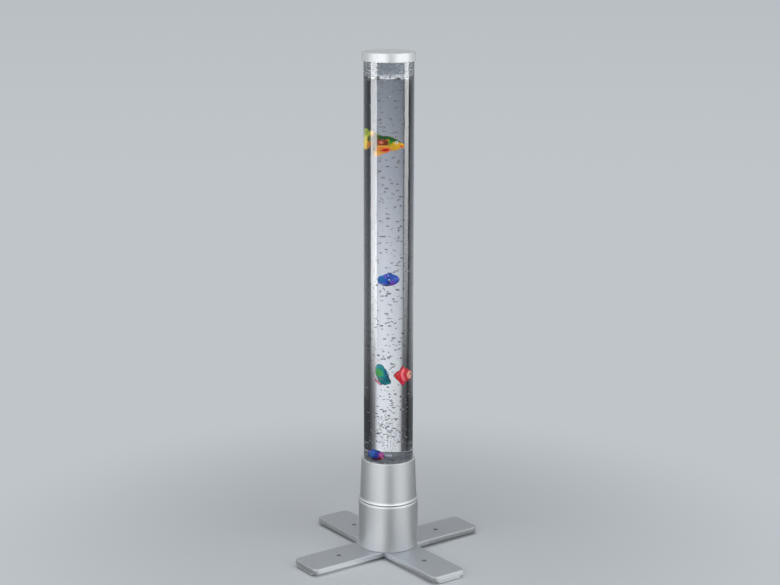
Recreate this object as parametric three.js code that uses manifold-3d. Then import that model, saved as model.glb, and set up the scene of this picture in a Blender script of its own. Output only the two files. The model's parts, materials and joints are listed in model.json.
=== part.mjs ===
// Water column lamp: a clear tube of water on a round two-part base and a flat cross of four legs.
// Millimetres, +Z up. The origin is the middle of the cross, on the surface that the lamp stands on,
// and the lamp's front faces -Y.

import * as THREE from 'three';
import { mergeVertices } from 'three/addons/utils/BufferGeometryUtils.js';
import Module from 'manifold-3d';

const wasm = await Module();
wasm.setup();

// Overall sizes and shared clearances
const lampHeight = 1130;
const fitGap = 0.3; // clearance round a piece that slips into another
const cutOverrun = 1; // how far a cut runs past the face that it opens
const roundSteps = 60; // facets round the large turned pieces that show
const innerSteps = 40; // facets round the large turned pieces inside
const smallSteps = 16; // facets round the small turned pieces

// Cross of two half-lapped flat bars
const crossTurn = 36.08; // degrees from +X to the first bar
const barLength = 457;
const barWidth = 85;
const barThickness = 12;
const barCorner = 12.5;
const barBevel = 1.2;
const cornerSteps = 4;
const fixingHoleDistance = 136; // from the lamp's axis
const fixingHoleDiameter = 5.2;
const fixingSinkDiameter = 10.4;

// Feet
const footBlockWidth = 59;
const footBlockLength = 34;
const footBlockHeight = 4.5;
const footPadThickness = 1.5;
const footPadInset = 2;

// Clear tube and its floor
const tubeDiameter = 110;
const tubeWall = 3;
const tubeSeatDepth = 27.5; // the tube's end below the collar's rim
const floorThickness = 6;
const floorRise = 2; // the floor's top above the collar's rim
const gasketThickness = 1.5;

// Lower shell and base plate
const shellHeight = 109;
const shellWall = 2.5;
const shellChamfer = 1.2;
const shellFlangeWidth = 12.5;
const plateThickness = 4;

// Screws that clamp the base plate to the cross
const baseScrewSpacing = 52;
const baseScrewDiameter = 5;
const baseScrewHeadDiameter = 10;
const baseScrewHeadHeight = 2.5;
const baseScrewRecess = 0.4;

// Upper collar
const collarHeight = 96;
const collarWall = 2.5;
const collarTaper = 3.25; // how much its radius grows from the rim to the waist
const collarFlare = 3.25; // how much its radius grows from the waist to the hem
const collarFlareHeight = 6.5;
const collarHemHeight = 1;
const collarRimRound = 0.8;
const flareSteps = 4;

// Tube carrier between the two shells
const seamGap = 1;
const seamInset = 0.8;
const carrierSpigot = 6;
const collarSpigot = 4;
const socketWall = 2.4;
const socketDrop = 8; // the socket's top below the collar's rim
const ledgeThickness = 3;
const ledgeWidth = 8;
const deckHoleDiameter = 24;

// Tie rods from the carrier's deck to the base plate
const rodCircleRadius = 48;
const rodDiameter = 4;
const rodHeadDiameter = 8;
const rodHeadHeight = 3;
const rodEndClearance = 1;
const rodCount = 3;
const rodTurn = 60; // degrees from +X to the first rod

// Cap and its seal
const capHeight = 19.2;
const capWall = 2.5;
const capTopThickness = 2.5;
const capSlip = 0.5;
const capEdgeRound = 0.8;
const sealThickness = 1.2;

// Air nozzle and stone in the tube's floor
const nozzleStemDiameter = 10;
const nozzleStemLength = 14;
const nozzleFlangeDiameter = 18;
const nozzleFlangeThickness = 1.5;
const nozzleTipDiameter = 6;
const nozzleTipHeight = 2;
const nozzleWasherThickness = 1.5;
const nozzleNutWidth = 15;
const nozzleNutThickness = 5;
const stoneDiameter = 14;
const stoneHeight = 4;

// Air hose, barbs and check valve
const hoseBore = 4.4;
const hoseWall = 1;
const barbLength = 10;
const nozzleBarbLength = 20;
const valveDiameter = 14;
const valveLength = 22;
const valveRise = 22; // the valve's body above the deck
const hoseStraight = 10; // how far a hose runs straight where it leaves a barb
const hoseSides = 4;
const hoseSteps = 12;

// LED board
const ledBoardThickness = 1.6;
const ledBoardInset = 1.5;
const ledBoardHoleDiameter = 16;
const ledCircleRadius = 28;
const ledDiameter = 5;
const ledHeight = 5.5;
const ledCount = 4;

// Air pump
const pumpAcross = 3;
const pumpBack = -11;
const matThickness = 4;
const caseLength = 78;
const caseWidth = 46;
const caseLowerHeight = 30;
const caseUpperHeight = 22;
const caseWall = 2;
const motorHeight = 14.5; // the magnet circuit's middle above the case's floor
const coreThickness = 8;
const coreYokeWidth = 6;
const coreLegWidth = 8;
const coreSideLegWidth = 4;
const coreWidth = 34;
const coreLength = 26;
const coreSideLegShort = 2;
const coilWall = 7;
const coilLength = 18;
const armThickness = 1.6;
const armWidth = 8;
const magnetThickness = 2.4;
const magnetWidth = 12;
const magnetGap = 1;
const pivotDiameter = 4;
const pivotEyeWall = 1.4;
const pivotWallGap = 0.8; // between the pivot's eye and the case's rear wall
const pivotTop = 3; // how far the pivot stands over the arm
const armTipPast = 4; // how far the arm runs past the diaphragm's middle
const diaphragmDiameter = 20;
const diaphragmThickness = 2.5;
const diaphragmBossDiameter = 6;
const diaphragmBossLength = 4.2;
const armTravel = 1; // room for the arm's swing before the diaphragm's boss
const valveBlockLength = 17;
const valveBlockWidth = 24;
const valveBlockHeight = 25.5;
const valveWallGap = 1; // between the valve block and the case's front wall
const pumpBarbHeight = 6;

// Control board
const boardBack = 28;
const boardWidth = 44;
const boardHeight = 58;
const boardThickness = 1.6;
const boardRibWidth = 8;
const boardRibHeight = 8;
const boardRibWall = 2;
const chipSize = 10;
const chipThickness = 2.4;
const capacitorDiameter = 8;
const capacitorHeight = 11;

// Inlet and switch in the rear of the lower shell
const inletHeight = 32; // above the cross
const jackTurn = 115; // degrees from +X
const jackFlangeDiameter = 13;
const jackFlangeThickness = 1.6;
const jackBodyDiameter = 8.4;
const jackBodyLength = 15;
const jackBoreDiameter = 6.3;
const jackBoreDepth = 9;
const jackPinDiameter = 2;
const jackPinShort = 1;
const jackNutWidth = 11;
const jackNutThickness = 2.5;
const switchTurn = 90;
const switchBezelDiameter = 16;
const switchBezelThickness = 1.8;
const switchBodyDiameter = 12;
const switchBodyLength = 18;
const buttonDiameter = 9;
const buttonPocketDepth = 8;
const buttonStandOut = 2.5;
const buttonTravel = 1.5;
const buttonEdgeRound = 0.8;

// Wires
const wireDiameter = 2.4;
const wireSides = 4;
const wireSteps = 10;
const wireStraight = 4;
const wireBow = 8; // how far the LED lead passes outside the check valve

// Fish. Across and back are shares of the tube's bore radius, up is a share of the tube above its floor,
// and yaw and pitch are degrees.
const fishFinThickness = 2.2;
const fishRoundSteps = 14;
const fishList = [
  {
    name: 'fish_yellow', length: 68, height: 30, thickness: 17, tail: 38, fin: 5,
    acrossShare: -0.17, backShare: 0, upShare: 0.786, yaw: 0, pitch: 5, colour: 0xe0a52a,
  },
  {
    name: 'fish_blue', length: 40, height: 24, thickness: 15, tail: 22, fin: 4,
    acrossShare: -0.02, backShare: 0.05, upShare: 0.448, yaw: 28, pitch: 4, colour: 0x2b4fc4,
  },
  {
    name: 'fish_teal', length: 54, height: 23, thickness: 14, tail: 20, fin: 3,
    acrossShare: -0.19, backShare: 0.02, upShare: 0.207, yaw: 0, pitch: 76, colour: 0x2f9e93,
  },
  {
    name: 'fish_red', length: 35, height: 30, thickness: 13, tail: 28, fin: 7,
    acrossShare: 0.45, backShare: 0.04, upShare: 0.208, yaw: 176, pitch: 0, colour: 0xd24a4f,
  },
  {
    name: 'fish_violet', length: 38, height: 22, thickness: 13, tail: 20, fin: 3,
    acrossShare: -0.47, backShare: -0.57, upShare: null, yaw: -31, pitch: 0, colour: 0x4a3fb0,
  },
];

// Heights, from the floor up
const barBottom = footPadThickness + footBlockHeight;
const crossTop = barBottom + barThickness;
const plateTop = crossTop + shellWall + plateThickness;
const shellTop = crossTop + shellHeight;
const deckTop = shellTop + seamGap;
const collarTop = deckTop + collarHeight;
const tubeBottom = collarTop - tubeSeatDepth;
const ledgeTop = tubeBottom - gasketThickness;
const floorTop = collarTop + floorRise;
const floorBottom = floorTop - floorThickness;
const sealTop = lampHeight - capTopThickness;
const tubeTop = sealTop - sealThickness;
const inletMiddle = crossTop + inletHeight;

// Radii, from the tube out
const tubeRadius = tubeDiameter / 2;
const boreRadius = tubeRadius - tubeWall;
const socketInner = tubeRadius + fitGap;
const socketOuter = socketInner + socketWall;
const rimRadius = socketOuter + fitGap + collarWall;
const waistRadius = rimRadius + collarTaper;
const shellRadius = waistRadius + collarFlare;
const shellInner = shellRadius - shellWall;
const flangeInner = shellInner - shellFlangeWidth;
const capRadius = tubeRadius + capSlip + capWall;
const hoseRadius = hoseBore / 2 + hoseWall;
const barbRadius = hoseBore / 2 - fitGap;
const wireRadius = wireDiameter / 2;

// Shape helpers. Each returns a closed three.js geometry.

// A solid turned about Z from a loop of [radius, height], counter-clockwise with the radius to the right.
function turned(outline, steps = smallSteps) {
  const points = [...outline, outline[0]].map(([radius, height]) => new THREE.Vector2(radius, height));
  return new THREE.LatheGeometry(points, steps).rotateX(Math.PI / 2);
}

function rod(radius, bottom, top, steps = smallSteps) {
  return turned([[0, bottom], [radius, bottom], [radius, top], [0, top]], steps);
}

function ring(inner, outer, bottom, top, steps = smallSteps) {
  return turned([[inner, bottom], [outer, bottom], [outer, top], [inner, top]], steps);
}

function block([left, right], [front, back], [bottom, top]) {
  const box = new THREE.BoxGeometry(right - left, back - front, top - bottom);
  return box.translate((left + right) / 2, (front + back) / 2, (bottom + top) / 2);
}

function prism(shape, bottom, top, curveSegments = cornerSteps) {
  const body = new THREE.ExtrudeGeometry(shape, { depth: top - bottom, bevelEnabled: false, curveSegments });
  return body.translate(0, 0, bottom);
}

function hexagon(width) {
  const corner = width / Math.sqrt(3);
  const points = [0, 1, 2, 3, 4, 5].map((i) => {
    const angle = (i * Math.PI) / 3;
    return new THREE.Vector2(corner * Math.cos(angle), corner * Math.sin(angle));
  });
  return new THREE.Shape(points);
}

function roundedRectangle(length, width, corner) {
  const [x, y] = [length / 2, width / 2];
  const shape = new THREE.Shape();
  shape.absarc(x - corner, y - corner, corner, 0, Math.PI / 2);
  shape.absarc(corner - x, y - corner, corner, Math.PI / 2, Math.PI);
  shape.absarc(corner - x, corner - y, corner, Math.PI, Math.PI * 1.5);
  shape.absarc(x - corner, corner - y, corner, Math.PI * 1.5, Math.PI * 2);
  return shape;
}

// A round section along a smooth path. With a bore it is a hose, open at both ends.
function pipe(points, outer, bore, sides, steps) {
  const section = new THREE.Shape();
  section.absarc(0, 0, outer, 0, Math.PI * 2);
  if (bore > 0) section.holes.push(new THREE.Path().absarc(0, 0, bore, 0, Math.PI * 2, true));
  const extrudePath = new THREE.CatmullRomCurve3(points.map((point) => new THREE.Vector3(...point)));
  return new THREE.ExtrudeGeometry(section, { steps, extrudePath, curveSegments: sides });
}

// Joins and cuts

function solidOf(shape) {
  if (!shape.isBufferGeometry) return shape;
  const bare = shape.clone();
  bare.deleteAttribute('normal');
  bare.deleteAttribute('uv');
  const merged = mergeVertices(bare);
  const index = merged.index.array;
  const corners = [];
  for (let i = 0; i < index.length; i += 3) {
    const [a, b, c] = [index[i], index[i + 1], index[i + 2]];
    if (a !== b && b !== c && c !== a) corners.push(a, b, c);
  }
  const triVerts = new Uint32Array(corners);
  const vertProperties = merged.attributes.position.array;
  return new wasm.Manifold(new wasm.Mesh({ numProp: 3, vertProperties, triVerts }));
}

function join(...shapes) {
  return shapes.map(solidOf).reduce((whole, piece) => whole.add(piece));
}

function cut(shape, ...tools) {
  return tools.map(solidOf).reduce((whole, tool) => whole.subtract(tool), solidOf(shape));
}

function geometryOf(shape) {
  const mesh = solidOf(shape).getMesh();
  const geometry = new THREE.BufferGeometry();
  geometry.setAttribute('position', new THREE.BufferAttribute(new Float32Array(mesh.vertProperties), 3));
  geometry.setIndex(new THREE.BufferAttribute(new Uint32Array(mesh.triVerts), 1));
  geometry.computeVertexNormals();
  return geometry;
}

// Materials

function finish(color, roughness, metalness, opacity = 1) {
  return new THREE.MeshStandardMaterial({ color, roughness, metalness, opacity, transparent: opacity < 1 });
}

const silver = finish(0xb4b8bb, 0.35, 0.6);
const satinBar = finish(0x9aa2a8, 0.4, 0.6);
const steel = finish(0xc0c0c0, 0.3, 0.9);
const rubber = finish(0x1d1d1f, 0.9, 0);
const clear = finish(0xeef4f6, 0.05, 0, 0.3);
const frosted = finish(0xd8dde0, 0.5, 0, 0.8);
const blackPlastic = finish(0x222326, 0.55, 0);
const greyPlastic = finish(0x77797c, 0.5, 0);
const whitePlastic = finish(0xe6e6e2, 0.5, 0);
const circuit = finish(0x1f6b3a, 0.5, 0);
const copper = finish(0xa35a2e, 0.4, 0.8);
const stoneBlue = finish(0x8fa3b3, 0.95, 0);
const silicone = finish(0xdfe6e6, 0.4, 0, 0.7);

const lamp = new THREE.Group();

function add(name, shape, material, parent = lamp) {
  const mesh = new THREE.Mesh(geometryOf(shape), material);
  mesh.name = name;
  parent.add(mesh);
  return mesh;
}

function turnedGroup(degrees, parent = lamp) {
  const group = new THREE.Group();
  group.rotation.z = THREE.MathUtils.degToRad(degrees);
  parent.add(group);
  return group;
}

// Cross: each bar keeps one half of its thickness at the middle, so the two lie flush.

function bar() {
  const outline = roundedRectangle(barLength - 2 * barBevel, barWidth - 2 * barBevel, barCorner - barBevel);
  const body = new THREE.ExtrudeGeometry(outline, {
    depth: barThickness - 2 * barBevel,
    bevelThickness: barBevel,
    bevelSize: barBevel,
    bevelSegments: 1,
    curveSegments: cornerSteps,
  }).translate(0, 0, barBottom + barBevel);
  const sinkDepth = (fixingSinkDiameter - fixingHoleDiameter) / 2;
  const fixingHole = [
    [0, barBottom - cutOverrun],
    [fixingHoleDiameter / 2, barBottom - cutOverrun],
    [fixingHoleDiameter / 2, crossTop - sinkDepth],
    [fixingSinkDiameter / 2 + cutOverrun, crossTop + cutOverrun],
    [0, crossTop + cutOverrun],
  ];
  const holes = [-1, 1].map((side) => turned(fixingHole).translate(side * fixingHoleDistance, 0, 0));
  return cut(body, ...holes);
}

const screwSides = [[1, 1], [-1, 1], [-1, -1], [1, -1]];
const screwStart = barBottom + baseScrewRecess;
const screwPlace = baseScrewSpacing / 2;

// The outline of a base screw, or of its hole when it is grown by a gap.
function screwOutline(gap, bottom, top) {
  const [shank, head] = [baseScrewDiameter / 2 + gap, baseScrewHeadDiameter / 2 + gap];
  return [
    [0, bottom],
    [head, bottom],
    [head, screwStart],
    [shank, screwStart + baseScrewHeadHeight],
    [shank, top],
    [0, top],
  ];
}

function screwHoles() {
  const outline = screwOutline(fitGap, barBottom - cutOverrun, plateTop + cutOverrun);
  return screwSides.map(([x, y]) => turned(outline).translate(x * screwPlace, y * screwPlace, 0));
}

function lapCut(bottom, top) {
  const side = barWidth / 2 + fitGap;
  return block([-side, side], [-barWidth, barWidth], [bottom, top]);
}

const cross = turnedGroup(crossTurn);
const crossSide = turnedGroup(90, cross);
const lapHeight = barBottom + barThickness / 2;
const upperLap = lapCut(barBottom - cutOverrun, lapHeight);
const lowerLap = lapCut(lapHeight, crossTop + cutOverrun);
add('cross_bar_upper', cut(bar(), upperLap, ...screwHoles()), satinBar, cross);
add('cross_bar_lower', cut(bar(), lowerLap, ...screwHoles()), satinBar, crossSide);

const screwEnd = plateTop - baseScrewRecess;
screwSides.forEach(([x, y], i) => {
  const solidScrew = [
    [0, screwStart],
    [baseScrewHeadDiameter / 2, screwStart],
    [baseScrewDiameter / 2, screwStart + baseScrewHeadHeight],
    [baseScrewDiameter / 2, screwEnd],
    [0, screwEnd],
  ];
  const screw = add(`base_screw_${i + 1}`, turned(solidScrew), steel, cross);
  screw.position.set(x * screwPlace, y * screwPlace, 0);
});

// A block and a rubber pad under each leg's end, flush with its end face

for (let leg = 0; leg < 4; leg += 1) {
  const group = turnedGroup(90 * leg, cross);
  const outer = barLength / 2;
  const inner = outer - footBlockLength;
  const side = footBlockWidth / 2;
  const padSide = side - footPadInset;
  const blockShape = block([inner, outer], [-side, side], [footPadThickness, barBottom]);
  const padShape = block([inner + footPadInset, outer - footPadInset], [-padSide, padSide], [0, footPadThickness]);
  add(`foot_block_${leg + 1}`, blockShape, silver, group);
  add(`foot_pad_${leg + 1}`, padShape, rubber, group);
}

// Lower shell: a plain cylinder with an inward flange at its foot and holes for the inlet and the switch

function radialRod(radius, degrees, inner, outer) {
  const tool = rod(radius, inner, outer).rotateX(-Math.PI / 2).rotateZ(-Math.PI / 2);
  return tool.translate(0, 0, inletMiddle).rotateZ(THREE.MathUtils.degToRad(degrees));
}

const shellOutline = [
  [flangeInner, crossTop],
  [shellRadius, crossTop],
  [shellRadius, shellTop - shellChamfer],
  [shellRadius - shellChamfer, shellTop],
  [shellInner, shellTop],
  [shellInner, crossTop + shellWall],
  [flangeInner, crossTop + shellWall],
];
const wallRun = [shellInner - shellFlangeWidth, shellRadius + cutOverrun];
const jackHole = radialRod(jackBodyDiameter / 2 + fitGap, jackTurn, ...wallRun);
const switchHole = radialRod(switchBodyDiameter / 2 + fitGap, switchTurn, ...wallRun);
add('lower_shell', cut(turned(shellOutline, roundSteps), jackHole, switchHole), silver);

// Base plate: it presses the shell's flange on the cross, and its two ribs hold the control board.

const rodPlaces = Array.from({ length: rodCount }, (_, i) => {
  const angle = THREE.MathUtils.degToRad(rodTurn + (360 / rodCount) * i);
  return [rodCircleRadius * Math.cos(angle), rodCircleRadius * Math.sin(angle)];
});

function rodHoles(bottom, top) {
  return rodPlaces.map(([x, y]) => rod(rodDiameter / 2 + fitGap, bottom, top).translate(x, y, 0));
}

const bossRadius = flangeInner - fitGap;
const plateRadius = shellInner - fitGap;
const plateOutline = [
  [0, crossTop],
  [bossRadius, crossTop],
  [bossRadius, crossTop + shellWall],
  [plateRadius, crossTop + shellWall],
  [plateRadius, plateTop],
  [0, plateTop],
];
const boardFront = boardBack;
const boardRear = boardBack + boardThickness;
const boardRibs = [-1, 1].map((side) => {
  const outer = (side * boardWidth) / 2;
  const inner = outer - side * boardRibWidth;
  const run = [Math.min(inner, outer), Math.max(inner, outer)];
  const thick = [boardFront - fitGap - boardRibWall, boardRear + fitGap + boardRibWall];
  const slot = [boardFront - fitGap, boardRear + fitGap];
  const rib = block(run, thick, [plateTop - plateThickness / 2, plateTop + boardRibHeight]);
  const slotRun = [run[0] - cutOverrun, run[1] + cutOverrun];
  return cut(rib, block(slotRun, slot, [plateTop, plateTop + boardRibHeight + cutOverrun]));
});
const plateBody = join(turned(plateOutline, innerSteps), ...boardRibs);
const plateScrewHoles = screwHoles().map((hole) => hole.rotateZ(THREE.MathUtils.degToRad(crossTurn)));
const plateRodHoles = rodHoles(crossTop - cutOverrun, plateTop + cutOverrun);
add('base_plate', cut(plateBody, ...plateScrewHoles, ...plateRodHoles), steel);

// Tube carrier: the deck closes the lower shell, its shoulder shows as the dark seam, and its socket
// holds the tube inside the collar.

const deckBottom = shellTop - carrierSpigot;
const shoulderRadius = shellRadius - seamInset;
const collarFoot = waistRadius - collarWall;
const carrierOutline = [
  [deckHoleDiameter / 2, deckBottom],
  [plateRadius, deckBottom],
  [plateRadius, shellTop],
  [shoulderRadius, shellTop],
  [shoulderRadius, deckTop],
  [collarFoot - fitGap, deckTop],
  [collarFoot - fitGap, deckTop + collarSpigot],
  [socketOuter, deckTop + collarSpigot],
  [socketOuter, collarTop - socketDrop],
  [socketInner, collarTop - socketDrop],
  [socketInner, ledgeTop],
  [boreRadius - ledgeWidth, ledgeTop],
  [boreRadius - ledgeWidth, ledgeTop - ledgeThickness],
  [socketInner, ledgeTop - ledgeThickness - ledgeWidth],
  [socketInner, deckTop],
  [deckHoleDiameter / 2, deckTop],
];
const carrierRodHoles = rodHoles(deckBottom - cutOverrun, deckTop + cutOverrun);
add('tube_carrier', cut(turned(carrierOutline, innerSteps), ...carrierRodHoles), blackPlastic);

rodPlaces.forEach(([x, y], i) => {
  const outline = [
    [0, crossTop + rodEndClearance],
    [rodDiameter / 2, crossTop + rodEndClearance],
    [rodDiameter / 2, deckTop],
    [rodHeadDiameter / 2, deckTop],
    [rodHeadDiameter / 2, deckTop + rodHeadHeight],
    [0, deckTop + rodHeadHeight],
  ];
  add(`carrier_screw_${i + 1}`, turned(outline), steel).position.set(x, y, 0);
});

// Upper collar: a slight taper down to its waist, then a cove out to the hem over the seam

const flareTop = deckTop + collarHemHeight + collarFlareHeight;
const hemTop = deckTop + collarHemHeight;
const cove = new THREE.QuadraticBezierCurve(
  new THREE.Vector2(shellRadius, hemTop),
  new THREE.Vector2(waistRadius, hemTop + collarFlareHeight / 3),
  new THREE.Vector2(waistRadius, flareTop),
);
const collarOutline = [
  [shellRadius - collarWall, deckTop],
  [shellRadius, deckTop],
  ...cove.getPoints(flareSteps).map((point) => [point.x, point.y]),
  [rimRadius, collarTop - collarRimRound],
  [rimRadius - collarRimRound, collarTop],
  [rimRadius - collarWall, collarTop],
  [collarFoot, flareTop],
  [collarFoot, hemTop],
];
add('upper_collar', turned(collarOutline, roundSteps), silver);

// Clear tube, its gasket and its floor

add('acrylic_tube', ring(boreRadius, tubeRadius, tubeBottom, tubeTop, roundSteps), clear);
add('tube_gasket', ring(boreRadius, tubeRadius, ledgeTop, tubeBottom, innerSteps), rubber);

const floorRadius = boreRadius - fitGap;
const stemRadius = nozzleStemDiameter / 2;
add('tube_floor', ring(stemRadius + fitGap, floorRadius, floorBottom, floorTop, innerSteps), frosted);

// Cap: its skirt slips over the tube, and the seal under it rests on the tube's end.

const capBottom = lampHeight - capHeight;
const capOutline = [
  [0, sealTop],
  [capRadius - capWall, sealTop],
  [capRadius - capWall, capBottom],
  [capRadius, capBottom],
  [capRadius, lampHeight - capEdgeRound],
  [capRadius - capEdgeRound, lampHeight],
  [0, lampHeight],
];
add('top_cap', turned(capOutline, roundSteps), silver);
add('cap_seal', ring(boreRadius, tubeRadius, tubeTop, sealTop, innerSteps), rubber);

// Air nozzle through the floor, with its stone, washer and nut

const stemBottom = floorTop - nozzleStemLength;
const nozzleTop = floorTop + nozzleFlangeThickness;
const nozzleOutline = [
  [0, stemBottom - nozzleBarbLength],
  [barbRadius, stemBottom - nozzleBarbLength],
  [barbRadius, stemBottom],
  [stemRadius, stemBottom],
  [stemRadius, floorTop],
  [nozzleFlangeDiameter / 2, floorTop],
  [nozzleFlangeDiameter / 2, nozzleTop],
  [nozzleTipDiameter / 2, nozzleTop],
  [nozzleTipDiameter / 2, nozzleTop + nozzleTipHeight],
  [0, nozzleTop + nozzleTipHeight],
];
add('air_nozzle', turned(nozzleOutline), greyPlastic);

const stoneBore = nozzleTipDiameter / 2 + fitGap;
const stoneOutline = [
  [stoneBore, nozzleTop],
  [stoneDiameter / 2, nozzleTop],
  [stoneDiameter / 2, nozzleTop + stoneHeight],
  [0, nozzleTop + stoneHeight],
  [0, nozzleTop + nozzleTipHeight + fitGap],
  [stoneBore, nozzleTop + nozzleTipHeight + fitGap],
];
add('air_stone', turned(stoneOutline), stoneBlue);

const washerBottom = floorBottom - nozzleWasherThickness;
add('nozzle_washer', ring(stemRadius + fitGap, nozzleFlangeDiameter / 2, washerBottom, floorBottom), rubber);
const nutBottom = washerBottom - nozzleNutThickness;
const nutBore = rod(stemRadius + fitGap, nutBottom - cutOverrun, washerBottom + cutOverrun);
add('nozzle_nut', cut(prism(hexagon(nozzleNutWidth), nutBottom, washerBottom), nutBore), whitePlastic);

// LED board on the carrier's ledge, with LEDs that shine up through the floor

const ledBoardRadius = boreRadius - ledBoardInset;
const ledBoardTop = ledgeTop + ledBoardThickness;
add('led_board', ring(ledBoardHoleDiameter / 2, ledBoardRadius, ledgeTop, ledBoardTop, innerSteps), circuit);

const ledRadius = ledDiameter / 2;
const dome = new THREE.EllipseCurve(0, ledBoardTop + ledHeight - ledRadius, ledRadius, ledRadius, 0, Math.PI / 2);
const ledOutline = [
  [0, ledBoardTop],
  [ledRadius, ledBoardTop],
  ...dome.getPoints(cornerSteps - 1).slice(0, -1).map((point) => [point.x, point.y]),
  [0, ledBoardTop + ledHeight],
];
for (let i = 0; i < ledCount; i += 1) {
  const group = turnedGroup((360 / ledCount) * (i + 1 / 2));
  add(`led_${i + 1}`, turned(ledOutline), whitePlastic, group).position.set(ledCircleRadius, 0, 0);
}

// Check valve on the lamp's axis, between the two hoses

const valveBottom = deckTop + valveRise;
const valveTop = valveBottom + valveLength;
const valveOutline = [
  [0, valveBottom - barbLength],
  [barbRadius, valveBottom - barbLength],
  [barbRadius, valveBottom],
  [valveDiameter / 2, valveBottom],
  [valveDiameter / 2, valveTop],
  [barbRadius, valveTop],
  [barbRadius, valveTop + barbLength],
  [0, valveTop + barbLength],
];
add('check_valve', turned(valveOutline), whitePlastic);
add('air_hose_upper', ring(hoseBore / 2, hoseRadius, valveTop + fitGap, stemBottom - fitGap), silicone);

// Air pump. Its pieces are placed from the case's middle, on the case's floor.

const pump = new THREE.Group();
pump.position.set(pumpAcross, pumpBack, 0);
lamp.add(pump);

const caseBottom = plateTop + matThickness;
const caseFloor = caseBottom + caseWall;
const caseSplit = caseBottom + caseLowerHeight;
const caseTop = caseSplit + caseUpperHeight;
const motorMiddle = caseFloor + motorHeight;
const caseEnds = [-caseLength / 2, caseLength / 2];
const caseSides = [-caseWidth / 2, caseWidth / 2];
const innerEnds = [caseEnds[0] + caseWall, caseEnds[1] - caseWall];
const innerSides = [caseSides[0] + caseWall, caseSides[1] - caseWall];
const diaphragmFront = -(innerSides[0] + valveWallGap + valveBlockWidth / 2);
add('pump_mat', block(caseEnds, caseSides, [plateTop, caseBottom]), rubber, pump);

// The magnet circuit starts at the case's left wall and ends in front of the arm's magnet.
const coreStart = innerEnds[0] + fitGap;
const coreEnd = coreStart + coreLength;
const halfLeg = coreLegWidth / 2;
const coreLevels = [motorMiddle - coreThickness / 2, motorMiddle + coreThickness / 2];
const yoke = block([coreStart, coreStart + coreYokeWidth], [-coreWidth / 2, coreWidth / 2], coreLevels);
const middleLeg = block([coreStart + coreYokeWidth / 2, coreEnd], [-halfLeg, halfLeg], coreLevels);
const sideLegs = [-1, 1].map((side) => {
  const outer = (side * coreWidth) / 2;
  const inner = outer - side * coreSideLegWidth;
  const run = [Math.min(inner, outer), Math.max(inner, outer)];
  return block([coreStart + coreYokeWidth / 2, coreEnd - coreSideLegShort], run, coreLevels);
});
add('pump_core', join(yoke, middleLeg, ...sideLegs), steel, pump);

const coilHole = [halfLeg + fitGap, coreThickness / 2 + fitGap];
const coilStart = coreStart + coreYokeWidth + fitGap;
const coilEnd = coilStart + coilLength;
const coilSide = coilHole[0] + coilWall;
const coilBottom = motorMiddle - coilHole[1] - coilWall / 2;
const coilTop = motorMiddle + coilHole[1] + coilWall / 2;
const coilBody = block([coilStart, coilEnd], [-coilSide, coilSide], [coilBottom, coilTop]);
const coilBore = block(
  [coilStart - cutOverrun, coilEnd + cutOverrun],
  [-coilHole[0], coilHole[0]],
  [motorMiddle - coilHole[1], motorMiddle + coilHole[1]],
);
add('pump_coil', cut(coilBody, coilBore), copper, pump);

// The arm hangs on a pivot post of the case, holds the magnet and pushes the diaphragm's boss.
const magnetFace = coreEnd + magnetGap;
const armFace = magnetFace + magnetThickness;
const armBack = armFace + armThickness;
const armMiddle = (armFace + armBack) / 2;
const eyeBore = pivotDiameter / 2 + fitGap;
const eyeRadius = eyeBore + pivotEyeWall;
const pivotBack = innerSides[1] - pivotWallGap - eyeRadius;
const armTipFront = diaphragmFront + armTipPast;
const armLevels = [motorMiddle - armWidth / 2, motorMiddle + armWidth / 2];
const armStrip = block([armFace, armBack], [-armTipFront, pivotBack], armLevels);
const armMagnet = block([magnetFace, armFace + armThickness / 2], [-magnetWidth / 2, magnetWidth / 2], armLevels);
const armEye = rod(eyeRadius, ...armLevels).translate(armMiddle, pivotBack, 0);
const eyeHole = rod(eyeBore, armLevels[0] - cutOverrun, armLevels[1] + cutOverrun);
const arm = cut(join(armStrip, armMagnet, armEye), eyeHole.translate(armMiddle, pivotBack, 0));
add('pump_armature', arm, steel, pump);

const bossFace = armBack + armTravel;
const diaphragmFace = bossFace + diaphragmBossLength;
const diaphragmBack = diaphragmFace + diaphragmThickness;
const diaphragmOutline = [
  [0, bossFace],
  [diaphragmBossDiameter / 2, bossFace],
  [diaphragmBossDiameter / 2, diaphragmFace],
  [diaphragmDiameter / 2, diaphragmFace],
  [diaphragmDiameter / 2, diaphragmBack],
  [0, diaphragmBack],
];
const diaphragm = turned(diaphragmOutline).rotateY(Math.PI / 2).translate(0, -diaphragmFront, motorMiddle);
add('pump_diaphragm', diaphragm, rubber, pump);

const blockRun = [diaphragmBack, diaphragmBack + valveBlockLength];
const blockSides = [-diaphragmFront - valveBlockWidth / 2, -diaphragmFront + valveBlockWidth / 2];
const barbAcross = (blockRun[0] + blockRun[1]) / 2;
const blockTop = caseFloor + valveBlockHeight;
const barbTop = caseTop + pumpBarbHeight;
const blockBody = block(blockRun, blockSides, [caseFloor, blockTop]);
const outletBarb = rod(barbRadius, blockTop - cutOverrun, barbTop).translate(barbAcross, -diaphragmFront, 0);
add('pump_valve_block', join(blockBody, outletBarb), whitePlastic, pump);

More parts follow.
